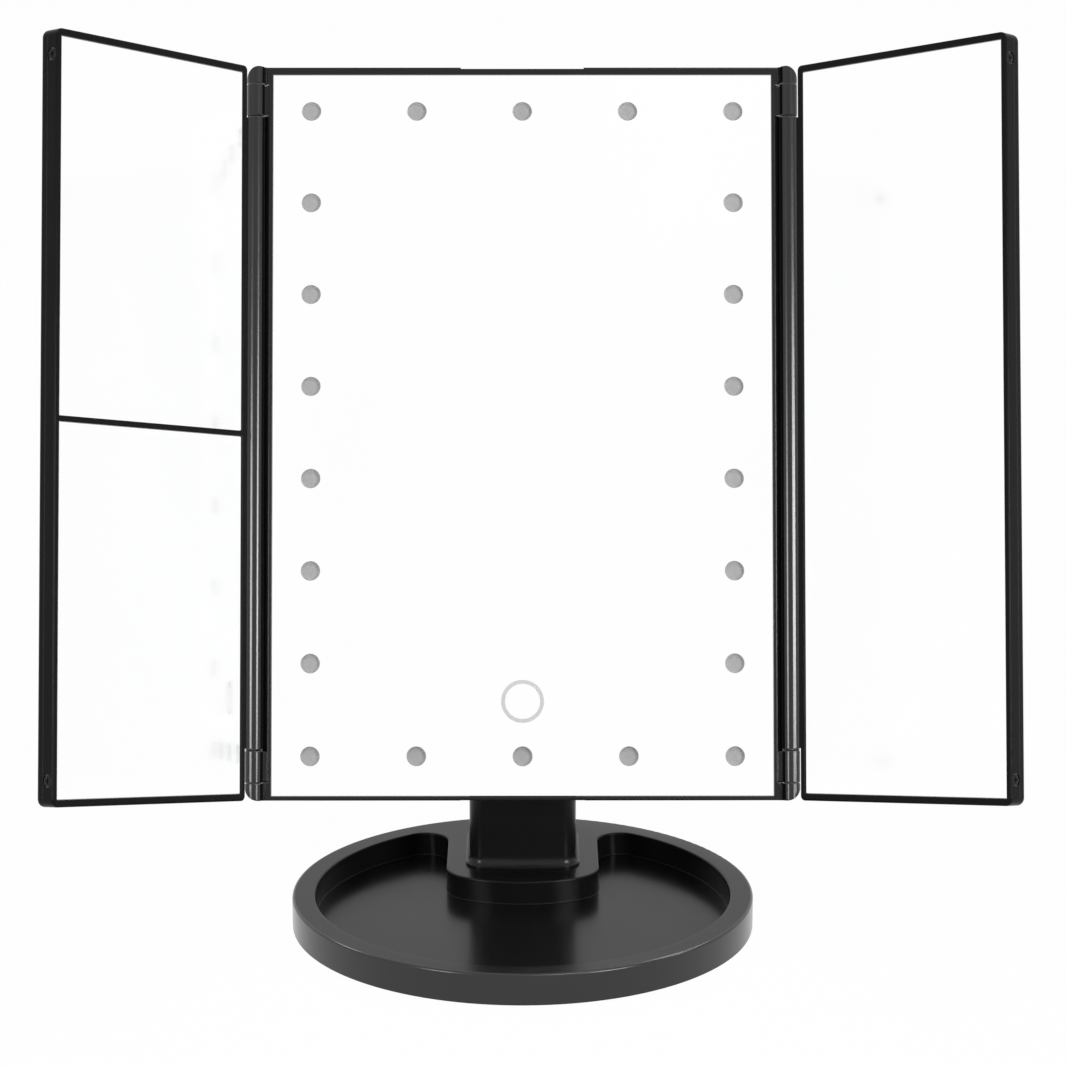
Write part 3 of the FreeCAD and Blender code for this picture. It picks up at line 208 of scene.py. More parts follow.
def ramp_of(nodes, stops):
    """A colour ramp with the given places and colours."""
    ramp = nodes.new("ShaderNodeValToRGB")
    stripes = ramp.color_ramp.elements
    stripes[0].position, stripes[0].color = stops[0][0], (*stops[0][1], 1)
    stripes[1].position, stripes[1].color = stops[-1][0], (*stops[-1][1], 1)
    for place, colour in stops[1:-1]:
        stripes.new(place).color = (*colour, 1)
    return ramp


def tone_of(nodes, tones):
    """A colour ramp that spreads two tones over a pattern."""
    return ramp_of(nodes, [(PATTERN_LOW, tones[0]), (PATTERN_HIGH, tones[1])])


def range_of(nodes, low, high, start=PATTERN_LOW, end=PATTERN_HIGH):
    """A node that spreads a pattern's middle values over a range."""
    spread = nodes.new("ShaderNodeMapRange")
    spread.inputs["From Min"].default_value = start
    spread.inputs["From Max"].default_value = end
    spread.inputs["To Min"].default_value = low
    spread.inputs["To Max"].default_value = high
    return spread


# How much lighter a worn edge is, and where a Mix node has its colour sockets.
EDGE_WEAR = 1.6
MIX_FACTOR, MIX_FIRST, MIX_SECOND, MIX_RESULT = 0, 6, 7, 2


def moulded(name, tones, roughness, grain, edge_radius, sheen):
    """A moulded skin: two close tones, uneven gloss, fine grain and edges worn a little lighter.

    The grain is its scale and its depth.
    """
    material, shader, nodes, links = new_material(name)
    skin = grained(nodes, *grain, edge_radius)
    tone = tone_of(nodes, tones)
    worn = nodes.new("ShaderNodeMix")
    worn.data_type = "RGBA"
    worn.inputs[MIX_SECOND].default_value = (*[EDGE_WEAR * value for value in tones[1]], 1)
    gloss = range_of(nodes, *roughness)
    links.new(skin.outputs["Mottle"], tone.inputs["Fac"])
    links.new(skin.outputs["Edge"], worn.inputs[MIX_FACTOR])
    links.new(tone.outputs["Color"], worn.inputs[MIX_FIRST])
    links.new(worn.outputs[MIX_RESULT], shader.inputs["Base Color"])
    links.new(skin.outputs["Mottle"], gloss.inputs["Value"])
    links.new(gloss.outputs["Result"], shader.inputs["Roughness"])
    links.new(skin.outputs["Normal"], shader.inputs["Normal"])
    shader.inputs["Specular IOR Level"].default_value = sheen
    return material


foot_rubber = moulded(
    "foot_rubber",
    tones=((0.016, 0.016, 0.017), (0.028, 0.028, 0.028)),
    roughness=(0.62, 0.8),
    grain=(3200.0, 0.00008),
    edge_radius=0.0002,
    sheen=0.3,
)

start_clean()
bpy.ops.mesh.primitive_cylinder_add(
    vertices=64, radius=FOOT_RADIUS, depth=FOOT_HEIGHT, location=(0, 0, FOOT_HEIGHT / 2)
)
foot = bpy.context.object
bpy.ops.object.transform_apply(location=True)
bpy.ops.object.mode_set(mode="EDIT")
pick(foot, "FACE", facing(0, 0, -1))
bpy.ops.mesh.inset(thickness=FOOT_RIM)
bpy.ops.mesh.inset(thickness=FOOT_SLOPE)
bpy.ops.transform.translate(value=(0, 0, FOOT_DISH))
pick(foot, "EDGE", rim_at(0, FOOT_RADIUS))
bpy.ops.mesh.bevel(offset=FOOT_ROUND, segments=4)
smooth(foot)
foot_places = [
    (across * FOOT_PLACE, along * FOOT_PLACE) for across in (-1, 1) for along in (-1, 1)
]
for count, (x, y) in enumerate(foot_places):
    spot = Matrix.Translation((x, y, 0))
    name = f"rubber_foot_{count + 1}"
    fit(copy_of(foot), name, spot, foot_rubber, "stand", "rubber_feet")
fit(foot, "rubber_foot_5", Matrix.Identity(4), foot_rubber, "stand", "rubber_feet")


# Base cover and its screws: a flat moulded disc that closes the base from below.
# Four zinc-plated pan-head screws with a cross recess hold it to bosses inside the tray.

SCREW_HEAD_RADIUS = 0.0023
SCREW_HEAD_HEIGHT = 0.001
SCREW_RADIUS = 0.0012
TIP_SHARE = 0.2
TIP_WIDTH = 0.35
HEAD_ROUND = 0.2
RECESS_WIDTH = 0.26
RECESS_ARM = 0.4
BASE_SCREW_LENGTH = 0.0054
BASE_SCREW_X = 0.0185
BASE_SCREW_YS = (0.024, 0.058)
BASE_SCREW_Z = 0.002


def dress(node, material):
    """Gives a CAD node its finish and leaves its shape alone."""
    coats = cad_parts[node].data.materials
    coats.clear()
    coats.append(material)


underside_plastic = moulded(
    "underside_plastic",
    tones=((0.007, 0.007, 0.0075), (0.011, 0.011, 0.0115)),
    roughness=(0.42, 0.5),
    grain=(2600.0, 0.00006),
    edge_radius=0.0003,
    sheen=0.25,
)
dress("base_cover", underside_plastic)


def plated_metal(name, tones, roughness):
    """Plated metal with a cloudy tone and fine scratches."""
    material, shader, nodes, links = new_material(name)
    skin = grained(nodes, scale=5200.0, depth=0.00002, edge_radius=0.0001)
    tone = tone_of(nodes, tones)
    gloss = range_of(nodes, *roughness)
    links.new(skin.outputs["Mottle"], tone.inputs["Fac"])
    links.new(tone.outputs["Color"], shader.inputs["Base Color"])
    links.new(skin.outputs["Mottle"], gloss.inputs["Value"])
    links.new(gloss.outputs["Result"], shader.inputs["Roughness"])
    links.new(skin.outputs["Normal"], shader.inputs["Normal"])
    shader.inputs["Metallic"].default_value = 1.0
    return material


zinc_plate = plated_metal(
    "zinc_plate", tones=((0.5, 0.51, 0.53), (0.64, 0.65, 0.66)), roughness=(0.28, 0.42)
)


def screw_blank(
    shank_length,
    radius=SCREW_RADIUS,
    head_radius=SCREW_HEAD_RADIUS,
    head_height=SCREW_HEAD_HEIGHT,
):
    """A pan-head screw with a cross recess, its seat at the origin and its head upwards."""
    start_clean()
    bpy.ops.mesh.primitive_cylinder_add(
        vertices=48, radius=head_radius, depth=head_height, location=(0, 0, head_height / 2)
    )
    screw = bpy.context.object
    bpy.ops.object.transform_apply(location=True)
    bpy.ops.object.mode_set(mode="EDIT")
    pick(screw, "FACE", facing(0, 0, -1))
    bpy.ops.mesh.inset(thickness=head_radius - radius)
    for share in (1 - TIP_SHARE, TIP_SHARE):
        step = (0, 0, -share * shank_length)
        bpy.ops.mesh.extrude_region_move(TRANSFORM_OT_translate={"value": step})
    bpy.ops.transform.resize(value=(TIP_WIDTH, TIP_WIDTH, 1))
    pick(screw, "EDGE", all_at(head_height))
    bpy.ops.mesh.bevel(offset=HEAD_ROUND * head_radius, segments=4)
    bpy.ops.object.mode_set(mode="OBJECT")
    start_clean()
    bpy.ops.mesh.primitive_cube_add(size=RECESS_WIDTH * head_radius, location=(0, 0, head_height))
    driver_tip = bpy.context.object
    bpy.ops.object.transform_apply(location=True)
    bpy.ops.object.mode_set(mode="EDIT")
    bpy.ops.mesh.select_all(action="SELECT")
    bpy.ops.transform.resize(value=(1, 1, 2), center_override=(0, 0, head_height))
    pick(driver_tip, "FACE", lambda face: abs(face.normal.z) < 0.1)
    bpy.ops.mesh.extrude_faces_move(
        TRANSFORM_OT_shrink_fatten={"value": RECESS_ARM * head_radius}
    )
    bpy.ops.object.mode_set(mode="OBJECT")
    take_up(screw)
    bpy.ops.object.modifier_add(type="BOOLEAN")
    screw.modifiers[-1].object = driver_tip
    screw.modifiers[-1].operation = "DIFFERENCE"
    bpy.ops.object.modifier_apply(modifier=screw.modifiers[-1].name)
    bpy.data.objects.remove(driver_tip)
    smooth(screw)
    return screw


FACE_DOWN = Matrix.Rotation(math.pi, 4, "X")


def drive(screw, label, seats, body):
    """Sets a copy of a screw in each seat, head down, and takes the loose one away."""
    for count, seat in enumerate(seats):
        spot = seat @ FACE_DOWN
        name = f"{label}_{count + 1}"
        fit(copy_of(screw), name, spot, zinc_plate, body, f"{label}s")
    bpy.data.objects.remove(screw)


base_screw_seats = [
    Matrix.Translation((side * BASE_SCREW_X, y, BASE_SCREW_Z))
    for side in (-1, 1)
    for y in BASE_SCREW_YS
]
drive(screw_blank(BASE_SCREW_LENGTH), "base_screw", base_screw_seats, "stand")


# Base tray: one black moulding with a rim, a shallow tray and the tongue that carries the post.
# It comes out of a polished tool, so its top shows soft reflections and its outer wall is glossy.

RIM_TOP = 0.0116
WALL_ROUND = 0.0008
WALL_FOOT = BASE_RADIUS - WALL_ROUND

tray_plastic = moulded(
    "tray_plastic",
    tones=((0.0064, 0.0064, 0.0066), (0.0082, 0.0082, 0.0085)),
    roughness=(0.2, 0.24),
    grain=(1500.0, 0.000008),
    edge_radius=0.0006,
    sheen=0.12,
)
wall_plastic = moulded(
    "wall_plastic",
    tones=((0.0052, 0.0052, 0.0054), (0.0066, 0.0066, 0.0069)),
    roughness=(0.17, 0.21),
    grain=(1500.0, 0.000008),
    edge_radius=0.0,
    sheen=0.55,
)


def smooth_moulding(node, material, body):
    """A moulding's CAD skin, welded and shaded smooth, so that its rounds catch the light evenly."""
    skin = bpy.data.objects.new(node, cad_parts[node].data.copy())
    bpy.context.scene.collection.objects.link(skin)
    take_up(skin)
    bpy.ops.object.mode_set(mode="EDIT")
    bpy.ops.mesh.select_all(action="SELECT")
    bpy.ops.mesh.remove_doubles(threshold=1e-6)
    bpy.ops.object.mode_set(mode="OBJECT")
    bpy.ops.mesh.customdata_custom_splitnormals_clear()
    smooth(skin, 30)
    bpy.ops.object.modifier_add(type="WEIGHTED_NORMAL")
    skin.modifiers[-1].keep_sharp = True
    bpy.ops.object.modifier_apply(modifier=skin.modifiers[-1].name)
    fit(skin, f"{node}_skin", Matrix.Identity(4), material, body, node)
    return skin


def shading_of(skin):
    """The shading direction at each corner of a skin's faces."""
    return [corner.vector.copy() for corner in skin.data.corner_normals]


def corners_of(skin, face):
    """Each corner of a face, with the point that it lies on."""
    for corner in face.loop_indices:
        yield corner, skin.data.vertices[skin.data.loops[corner].vertex_index].co


base_skin = smooth_moulding("base_tray", tray_plastic, "stand")
base_skin.data.materials.append(wall_plastic)
base_shading = shading_of(base_skin)
for face in base_skin.data.polygons:
    outward = face.center.xy.normalized().dot(face.normal.xy)
    if face.center.xy.length > WALL_FOOT and outward > 0.02 and face.normal.z > -0.02:
        face.material_index = 1
        for corner, point in corners_of(base_skin, face):
            reach = point.xy.length - WALL_FOOT
            rise = max(point.z - (RIM_TOP - WALL_ROUND), 0)
            base_shading[corner] = Vector((*(point.xy.normalized() * reach), rise)).normalized()
base_skin.data.normals_split_custom_set(base_shading)


# Supply inlet, slide switch and their board: small bought-in parts at the back of the base.
# The inlet is a folded steel shell with a contact tongue, the switch a black case with a ribbed knob.

INLET_LOW = (-0.0127, 0.0688, 0.005)
INLET_HIGH = (-0.0053, 0.0742, 0.0076)
INLET_CORNER = 0.0007
INLET_SHEET = 0.00035
INLET_DEPTH = 0.0044
CONTACT_INSET = 0.00065
CONTACT_LENGTH = 0.0032
KNOB_LOW, KNOB_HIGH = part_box("switch_knob")
KNOB_STRIPS = 7
RIB_HEIGHT = 0.0003


def circuit_board(name):
    """A green board: mask over fine copper tracks, with a matt woven ground."""
    material, shader, nodes, links = new_material(name)
    place = nodes.new("ShaderNodeTexCoord")
    tracks = nodes.new("ShaderNodeTexBrick")
    tracks.inputs["Scale"].default_value = 260.0
    tracks.inputs["Mortar Size"].default_value = 0.06
    tracks.inputs["Color1"].default_value = (0.012, 0.09, 0.03, 1)
    tracks.inputs["Color2"].default_value = (0.016, 0.11, 0.04, 1)
    tracks.inputs["Mortar"].default_value = (0.06, 0.22, 0.09, 1)
    weave = nodes.new("ShaderNodeTexNoise")
    weave.inputs["Scale"].default_value = 2400.0
    bump = nodes.new("ShaderNodeBump")
    bump.inputs["Distance"].default_value = 0.00004
    gloss = range_of(nodes, 0.3, 0.5)
    links.new(place.outputs["Object"], tracks.inputs["Vector"])
    links.new(place.outputs["Object"], weave.inputs["Vector"])
    links.new(tracks.outputs["Color"], shader.inputs["Base Color"])
    links.new(weave.outputs["Fac"], bump.inputs["Height"])
    links.new(weave.outputs["Fac"], gloss.inputs["Value"])
    links.new(gloss.outputs["Result"], shader.inputs["Roughness"])
    links.new(bump.outputs["Normal"], shader.inputs["Normal"])
    return material


def runs_along(axis):
    """A test for edges that run along one axis."""
    return lambda edge: abs(edge.verts[0].co[axis] - edge.verts[1].co[axis]) > 0.001


green_board = circuit_board("green_board")
dress("supply_board", green_board)
dress("switch_body", underside_plastic)

nickel_shell = plated_metal(
    "nickel_shell", tones=((0.55, 0.54, 0.52), (0.7, 0.69, 0.66)), roughness=(0.2, 0.34)
)
start_clean()
inlet_middle = [(low + high) / 2 for low, high in zip(INLET_LOW, INLET_HIGH)]
inlet_halfway = INLET_HIGH[1] - INLET_DEPTH / 2
bpy.ops.mesh.primitive_cube_add(size=1, location=inlet_middle)
inlet = bpy.context.object
inlet.scale = [high - low for low, high in zip(INLET_LOW, INLET_HIGH)]
bpy.ops.object.transform_apply(location=True, scale=True)
bpy.ops.object.mode_set(mode="EDIT")
pick(inlet, "EDGE", runs_along(1))
bpy.ops.mesh.bevel(offset=INLET_CORNER, segments=5)
pick(inlet, "FACE", facing(0, 1, 0))
bpy.ops.mesh.inset(thickness=INLET_SHEET)
bpy.ops.mesh.extrude_region_move(TRANSFORM_OT_translate={"value": (0, -INLET_DEPTH, 0)})
pick(
    inlet,
    "FACE",
    lambda face: facing(0, 1, 0)(face) and face.calc_center_median().y < inlet_halfway,
)
bpy.ops.mesh.inset(thickness=CONTACT_INSET)
bpy.ops.mesh.extrude_region_move(TRANSFORM_OT_translate={"value": (0, CONTACT_LENGTH, 0)})
smooth(inlet)
fit(inlet, "inlet_shell", Matrix.Identity(4), nickel_shell, "stand", "inlet_socket")

start_clean()
knob_size = KNOB_HIGH - KNOB_LOW
strip_width = knob_size.x / KNOB_STRIPS


def on_knob_end(edge):
    """A test for the knob's edges at its outer end, once that is set back."""
    return all(vert.co.y > KNOB_HIGH.y - 2 * RIB_HEIGHT for vert in edge.verts)


def on_rib(face):
    """A test for every second strip of the knob's outer end."""
    return int((face.calc_center_median().x - KNOB_LOW.x) / strip_width) % 2 == 1


bpy.ops.mesh.primitive_cube_add(size=1, location=(KNOB_LOW + KNOB_HIGH) / 2)
knob = bpy.context.object
knob.scale = knob_size
bpy.ops.object.transform_apply(location=True, scale=True)
bpy.ops.object.mode_set(mode="EDIT")
pick(knob, "FACE", facing(0, 1, 0))
bpy.ops.transform.translate(value=(0, -RIB_HEIGHT, 0))
pick(knob, "EDGE", lambda edge: on_knob_end(edge) and runs_along(0)(edge))
bpy.ops.mesh.subdivide(number_cuts=KNOB_STRIPS - 1)
pick(knob, "FACE", lambda face: facing(0, 1, 0)(face) and on_rib(face))
bpy.ops.mesh.extrude_faces_move(TRANSFORM_OT_shrink_fatten={"value": RIB_HEIGHT})
smooth(knob)
fit(
    knob,
    "switch_slider",
    Matrix.Identity(4),
    underside_plastic,
    "switch_knob",
    "switch_knob",
)


# Post: a hollow black column with a crowned front and a flared foot, moulded in one piece.
# Two screws from below hold it on the tongue; their heads are hidden inside the base.

post_plastic = moulded(
    "post_plastic",
    tones=((0.0078, 0.0078, 0.008), (0.0096, 0.0096, 0.0099)),
    roughness=(0.24, 0.28),
    grain=(1700.0, 0.000008),
    edge_radius=0.0003,
    sheen=0.23,
)
smooth_moulding("post_shell", post_plastic, "stand")
dress("post_screws", zinc_plate)


# Cells, contacts and battery door: four cells stand in the post on sprung nickel leaves.
# The door is a thin moulding that turns on two pins at its foot and has three grip grooves.

CELL_FOOT, CELL_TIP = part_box("battery_cells")
FILM_FOOT = 0.02
BAND_FOOT = 0.74
BAND_TOP = 0.8
FILM_TOP = 0.955
CAN_STEEL = (0.62, 0.62, 0.6)
NUB_STEEL = (0.7, 0.7, 0.68)
FILM_GREY = (0.05, 0.055, 0.065)
BAND_GREY = (0.32, 0.33, 0.34)


def cell_film(name):
    """A steel can in plain film: grey sides, a pale band near the top, bare ends."""
    material, shader, nodes, links = new_material(name)
    place = nodes.new("ShaderNodeTexCoord")
    split = nodes.new("ShaderNodeSeparateXYZ")
    height = range_of(nodes, 0.0, 1.0, CELL_FOOT.z, CELL_TIP.z)
    bands = ramp_of(
        nodes,
        [
            (0.0, CAN_STEEL),
            (FILM_FOOT, FILM_GREY),
            (BAND_FOOT, BAND_GREY),
            (BAND_TOP, FILM_GREY),
            (FILM_TOP, CAN_STEEL),
            (1.0, NUB_STEEL),
        ],
    )
    bands.color_ramp.interpolation = "CONSTANT"
    bare = ramp_of(nodes, [(0.0, (1, 1, 1)), (FILM_FOOT, (0, 0, 0)), (FILM_TOP, (1, 1, 1))])
    bare.color_ramp.interpolation = "CONSTANT"
    wrinkle = nodes.new("ShaderNodeTexNoise")
    wrinkle.inputs["Scale"].default_value = 160.0
    gloss = range_of(nodes, 0.22, 0.36)
    bump = nodes.new("ShaderNodeBump")
    bump.inputs["Distance"].default_value = 0.0001
    bump.inputs["Strength"].default_value = 0.3
    links.new(place.outputs["Object"], split.inputs["Vector"])
    links.new(place.outputs["Object"], wrinkle.inputs["Vector"])
    links.new(split.outputs["Z"], height.inputs["Value"])
    links.new(height.outputs["Result"], bands.inputs["Fac"])
    links.new(height.outputs["Result"], bare.inputs["Fac"])
    links.new(bands.outputs["Color"], shader.inputs["Base Color"])
    links.new(bare.outputs["Color"], shader.inputs["Metallic"])
    links.new(wrinkle.outputs["Fac"], gloss.inputs["Value"])
    links.new(gloss.outputs["Result"], shader.inputs["Roughness"])
    links.new(wrinkle.outputs["Fac"], bump.inputs["Height"])
    links.new(bump.outputs["Normal"], shader.inputs["Normal"])
    return material


dress("battery_cells", cell_film("cell_film"))
dress("contact_leaves", nickel_shell)
dress("contact_plates", nickel_shell)
smooth_moulding("battery_door", post_plastic, "battery_door")


# Tilt pivot: a steel bolt and nut clamp the moulded bracket between fibre washers in the post's ears.
# Dished plugs hide the bolt's ends, and four screws hold the bracket to the back of the head.

PIVOT = (0.0, 0.029, 0.0861)
PIVOT_RISE = 0.05
PIVOT_SETBACK = 0.009
HEAD_LEAN = 16.6
PLUG_RADIUS = 0.0042
PLUG_INNER_X = 0.0165
PLUG_DEPTH = 0.0012
PLUG_RIM = 0.0009
PLUG_SLOPE = 0.0003
PLUG_DISH = 0.0003
PLUG_ROUND = 0.00025
BRACKET_SCREW_LENGTH = 0.0068
BRACKET_SCREW_X = 0.0065
BRACKET_SCREW_YS = (0.062, 0.072)
BRACKET_SCREW_Z = -0.0025

# The head's own frame: x across, y up along the panel from its lower edge, z out of its face.
HEAD = (
    Matrix.Translation(PIVOT)
    @ Matrix.Rotation(math.radians(90 - HEAD_LEAN), 4, "X")
    @ Matrix.Translation((0, -PIVOT_RISE, PIVOT_SETBACK))
)

washer_fibre = moulded(
    "washer_fibre",
    tones=((0.12, 0.03, 0.015), (0.22, 0.07, 0.035)),
    roughness=(0.7, 0.9),
    grain=(2200.0, 0.0001),
    edge_radius=0.0001,
    sheen=0.4,
)
dress("tilt_bolt", zinc_plate)
dress("tilt_nut", zinc_plate)
dress("friction_washers", washer_fibre)
smooth_moulding("tilt_bracket", underside_plastic, "head")

start_clean()
bpy.ops.mesh.primitive_cylinder_add(
    vertices=64, radius=PLUG_RADIUS, depth=PLUG_DEPTH, location=(0, 0, PLUG_DEPTH / 2)
)
plug = bpy.context.object
bpy.ops.object.transform_apply(location=True)
bpy.ops.object.mode_set(mode="EDIT")
pick(plug, "FACE", facing(0, 0, 1))
bpy.ops.mesh.inset(thickness=PLUG_RIM)
bpy.ops.mesh.inset(thickness=PLUG_SLOPE)
bpy.ops.transform.translate(value=(0, 0, -PLUG_DISH))
pick(plug, "EDGE", rim_at(PLUG_DEPTH, PLUG_RADIUS))
bpy.ops.mesh.bevel(offset=PLUG_ROUND, segments=3)
smooth(plug)
for side, name in ((-1, "left_pivot_plug"), (1, "right_pivot_plug")):
    seat = Matrix.Translation((side * PLUG_INNER_X, PIVOT[1], PIVOT[2]))
    spot = seat @ Matrix.Rotation(side * math.pi / 2, 4, "Y")
    fit(copy_of(plug), name, spot, post_plastic, "stand", "pivot_plugs")
bpy.data.objects.remove(plug)

bracket_screw_seats = [
    HEAD @ Matrix.Translation((side * BRACKET_SCREW_X, y, BRACKET_SCREW_Z))
    for side in (-1, 1)
    for y in BRACKET_SCREW_YS
]
drive(screw_blank(BRACKET_SCREW_LENGTH), "bracket_screw", bracket_screw_seats, "head")


# Back cover of the middle panel: a shallow black shell with a fine spark-eroded texture.
# Six screws in sunk seats hold it to bosses of the front frame.

COVER_SCREW_LENGTH = 0.0053
COVER_SCREW_X = 0.052
COVER_SCREW_YS = (0.025, 0.119, 0.213)
COVER_SCREW_Z = 0.0012

back_plastic = moulded(
    "back_plastic",
    tones=((0.008, 0.008, 0.0083), (0.013, 0.013, 0.0134)),
    roughness=(0.38, 0.5),
    grain=(1900.0, 0.00006),
    edge_radius=0.0003,
    sheen=0.3,
)
back_shell = smooth_moulding("back_cover", back_plastic, "head")

cover_screw_seats = [
    HEAD @ Matrix.Translation((side * COVER_SCREW_X, y, COVER_SCREW_Z))
    for side in (-1, 1)
    for y in COVER_SCREW_YS
]
drive(screw_blank(COVER_SCREW_LENGTH), "cover_screw", cover_screw_seats, "head")


# Lamp board, lamp chips, control board and touch pad: the electrics sealed inside the middle panel.
# The boards are green glass fibre, and the pad is a nickel disc.
# The chips are white ceramic with yellow phosphor.

dress("lamp_board", green_board)
dress("control_board", green_board)
dress("touch_pad", nickel_shell)
chip_ceramic = moulded(
    "chip_ceramic",
    tones=((0.75, 0.6, 0.12), (0.8, 0.76, 0.6)),
    roughness=(0.4, 0.6),
    grain=(3000.0, 0.00003),
    edge_radius=0.0001,
    sheen=0.5,
)
dress("lamp_chips", chip_ceramic)


# Front frame of the middle panel: one glossy black moulding with the glass bed and hinge knuckles.
# It is moulded in a polished tool, so its narrow border and rounded edges are shiny.
# The hinge gaps, and the barrel faces that look into them, are painted darker and matt as the shade
# in them.

HINGE_X = 0.0865
HINGE_Z = 0.014
BARREL_RADIUS = 0.0029
BARREL_REACH = 1.01 * BARREL_RADIUS
GROOVE_REACH = 1.6 * BARREL_RADIUS
GLOSS_BLACK = ((0.0035, 0.0035, 0.0037), (0.0048, 0.0048, 0.005))

frame_plastic = moulded(
    "frame_plastic",
    tones=GLOSS_BLACK,
    roughness=(0.2, 0.24),
    grain=(1600.0, 0.000004),
    edge_radius=0.0005,
    sheen=0.09,
)
border_plastic = moulded(
    "border_plastic",
    tones=GLOSS_BLACK,
    roughness=(0.18, 0.22),
    grain=(1600.0, 0.000004),
    edge_radius=0.0005,
    sheen=0.3,
)
barrel_plastic = moulded(
    "barrel_plastic",
    tones=GLOSS_BLACK,
    roughness=(0.17, 0.2),
    grain=(1600.0, 0.000002),
    edge_radius=0.0,
    sheen=0.46,
)
# Painted shade: a darker, matt finish that stands in for the shade in the hinge gaps.
gap_painted_shade = moulded(
    "gap_painted_shade",
    tones=((0.0015, 0.0015, 0.0016), (0.0025, 0.0025, 0.0026)),
    roughness=(0.75, 0.85),
    grain=(1600.0, 0.00002),
    edge_radius=0.0,
    sheen=0.02,
)


def from_hinge(point):
    """The way from the nearer hinge's axis to a point, in the head's own frame."""
    return point - Vector((math.copysign(HINGE_X, point.x), point.y, HINGE_Z))


def polish_hinges(skin):
    """Polishes a moulding's hinge barrels and shades them truly round; the gaps round them, and the
    barrel faces that face them, get painted shade.
    """
    skin.data.materials.append(barrel_plastic)
    skin.data.materials.append(gap_painted_shade)
    polished, painted_shade = 1, 2
    to_head = HEAD.inverted()
    shading = shading_of(skin)
    for face in skin.data.polygons:
        middle = to_head @ face.center
        look = to_head.to_3x3() @ face.normal
        spoke = from_hinge(middle)
        outward = look.dot(spoke.normalized())
        on_barrel = spoke.length < BARREL_REACH
        at_end = abs(look.y) > 0.9
        to_panel = -math.copysign(1, middle.x) * look.x > 0.72
        in_groove = not on_barrel and spoke.length < GROOVE_REACH and outward < -0.5
        # Painted shade: groove faces, and barrel faces that look into the groove or along the pin,
        # get the dark gap finish.
        if in_groove or on_barrel and (at_end or to_panel):
            face.material_index = painted_shade
        elif on_barrel and outward > 0.3:
            face.material_index = polished
        if on_barrel and outward > 0.97:
            for corner, point in corners_of(skin, face):
                shading[corner] = HEAD.to_3x3() @ from_hinge(to_head @ point).normalized()
    skin.data.normals_split_custom_set(shading)


front_border = smooth_moulding("front_frame", border_plastic, "head")
polish_hinges(front_border)


# Middle mirror: a silvered float-glass pane bonded with foam tape, with ground holes for the lamps.
# Frosted lenses sit in the holes, and the touch switch is a sand-blasted ring in the glass.

PANEL_HEIGHT = 0.238
LAMP_X = 0.0686
LAMP_Y = 0.0142
LAMPS_UP = 8
LENS_RADIUS = 0.00317
LENS_FOOT = 0.0095
LENS_TOP = 0.0115
LENS_RIM = 0.0007
LENS_STEP = 0.0009
LENS_RISES = (0.00012, 0.00006)


def foam(name):
    """White closed-cell foam with small open pores on its cut faces, painted darker inside as shade.
    """
    material, shader, nodes, links = new_material(name)
    place = nodes.new("ShaderNodeTexCoord")
    pores = nodes.new("ShaderNodeTexVoronoi")
    pores.inputs["Scale"].default_value = 1800.0
    # Painted shade: the pores are coloured darker than the foam round them.
    tone = ramp_of(nodes, [(0.1, (0.45, 0.45, 0.43)), (0.5, (0.72, 0.72, 0.7))])
    gloss = range_of(nodes, 0.95, 0.8, start=0.1, end=0.6)
    bump = nodes.new("ShaderNodeBump")
    bump.inputs["Distance"].default_value = 0.0002
    links.new(place.outputs["Object"], pores.inputs["Vector"])
    links.new(pores.outputs["Distance"], tone.inputs["Fac"])
    links.new(pores.outputs["Distance"], gloss.inputs["Value"])
    links.new(pores.outputs["Distance"], bump.inputs["Height"])
    links.new(tone.outputs["Color"], shader.inputs["Base Color"])
    links.new(gloss.outputs["Result"], shader.inputs["Roughness"])
    links.new(bump.outputs["Normal"], shader.inputs["Normal"])
    return material


tape_foam = foam("tape_foam")
dress("mirror_tape", tape_foam)


def silvered_glass(name):
    """Silvered glass: a bright reflection, with faint wiping marks that dull it unevenly."""
    material, shader, nodes, links = new_material(name)
    place = nodes.new("ShaderNodeTexCoord")
    stretch = nodes.new("ShaderNodeMapping")
    stretch.inputs["Scale"].default_value = (14.0, 22.0, 6.0)
    wiped = nodes.new("ShaderNodeTexNoise")
    wiped.inputs["Scale"].default_value = 1.0
    wiped.inputs["Detail"].default_value = 4.0
    tone = tone_of(nodes, ((0.984, 0.986, 0.986), (0.994, 0.995, 0.995)))
    gloss = range_of(nodes, 0.06, 0.1)
    links.new(place.outputs["Object"], stretch.inputs["Vector"])
    links.new(stretch.outputs["Vector"], wiped.inputs["Vector"])
    links.new(wiped.outputs["Fac"], tone.inputs["Fac"])
    links.new(wiped.outputs["Fac"], gloss.inputs["Value"])
    links.new(tone.outputs["Color"], shader.inputs["Base Color"])
    links.new(gloss.outputs["Result"], shader.inputs["Roughness"])
    shader.inputs["Metallic"].default_value = 1.0
    return material


mirror_silver = silvered_glass("mirror_silver")
dress("middle_mirror", mirror_silver)

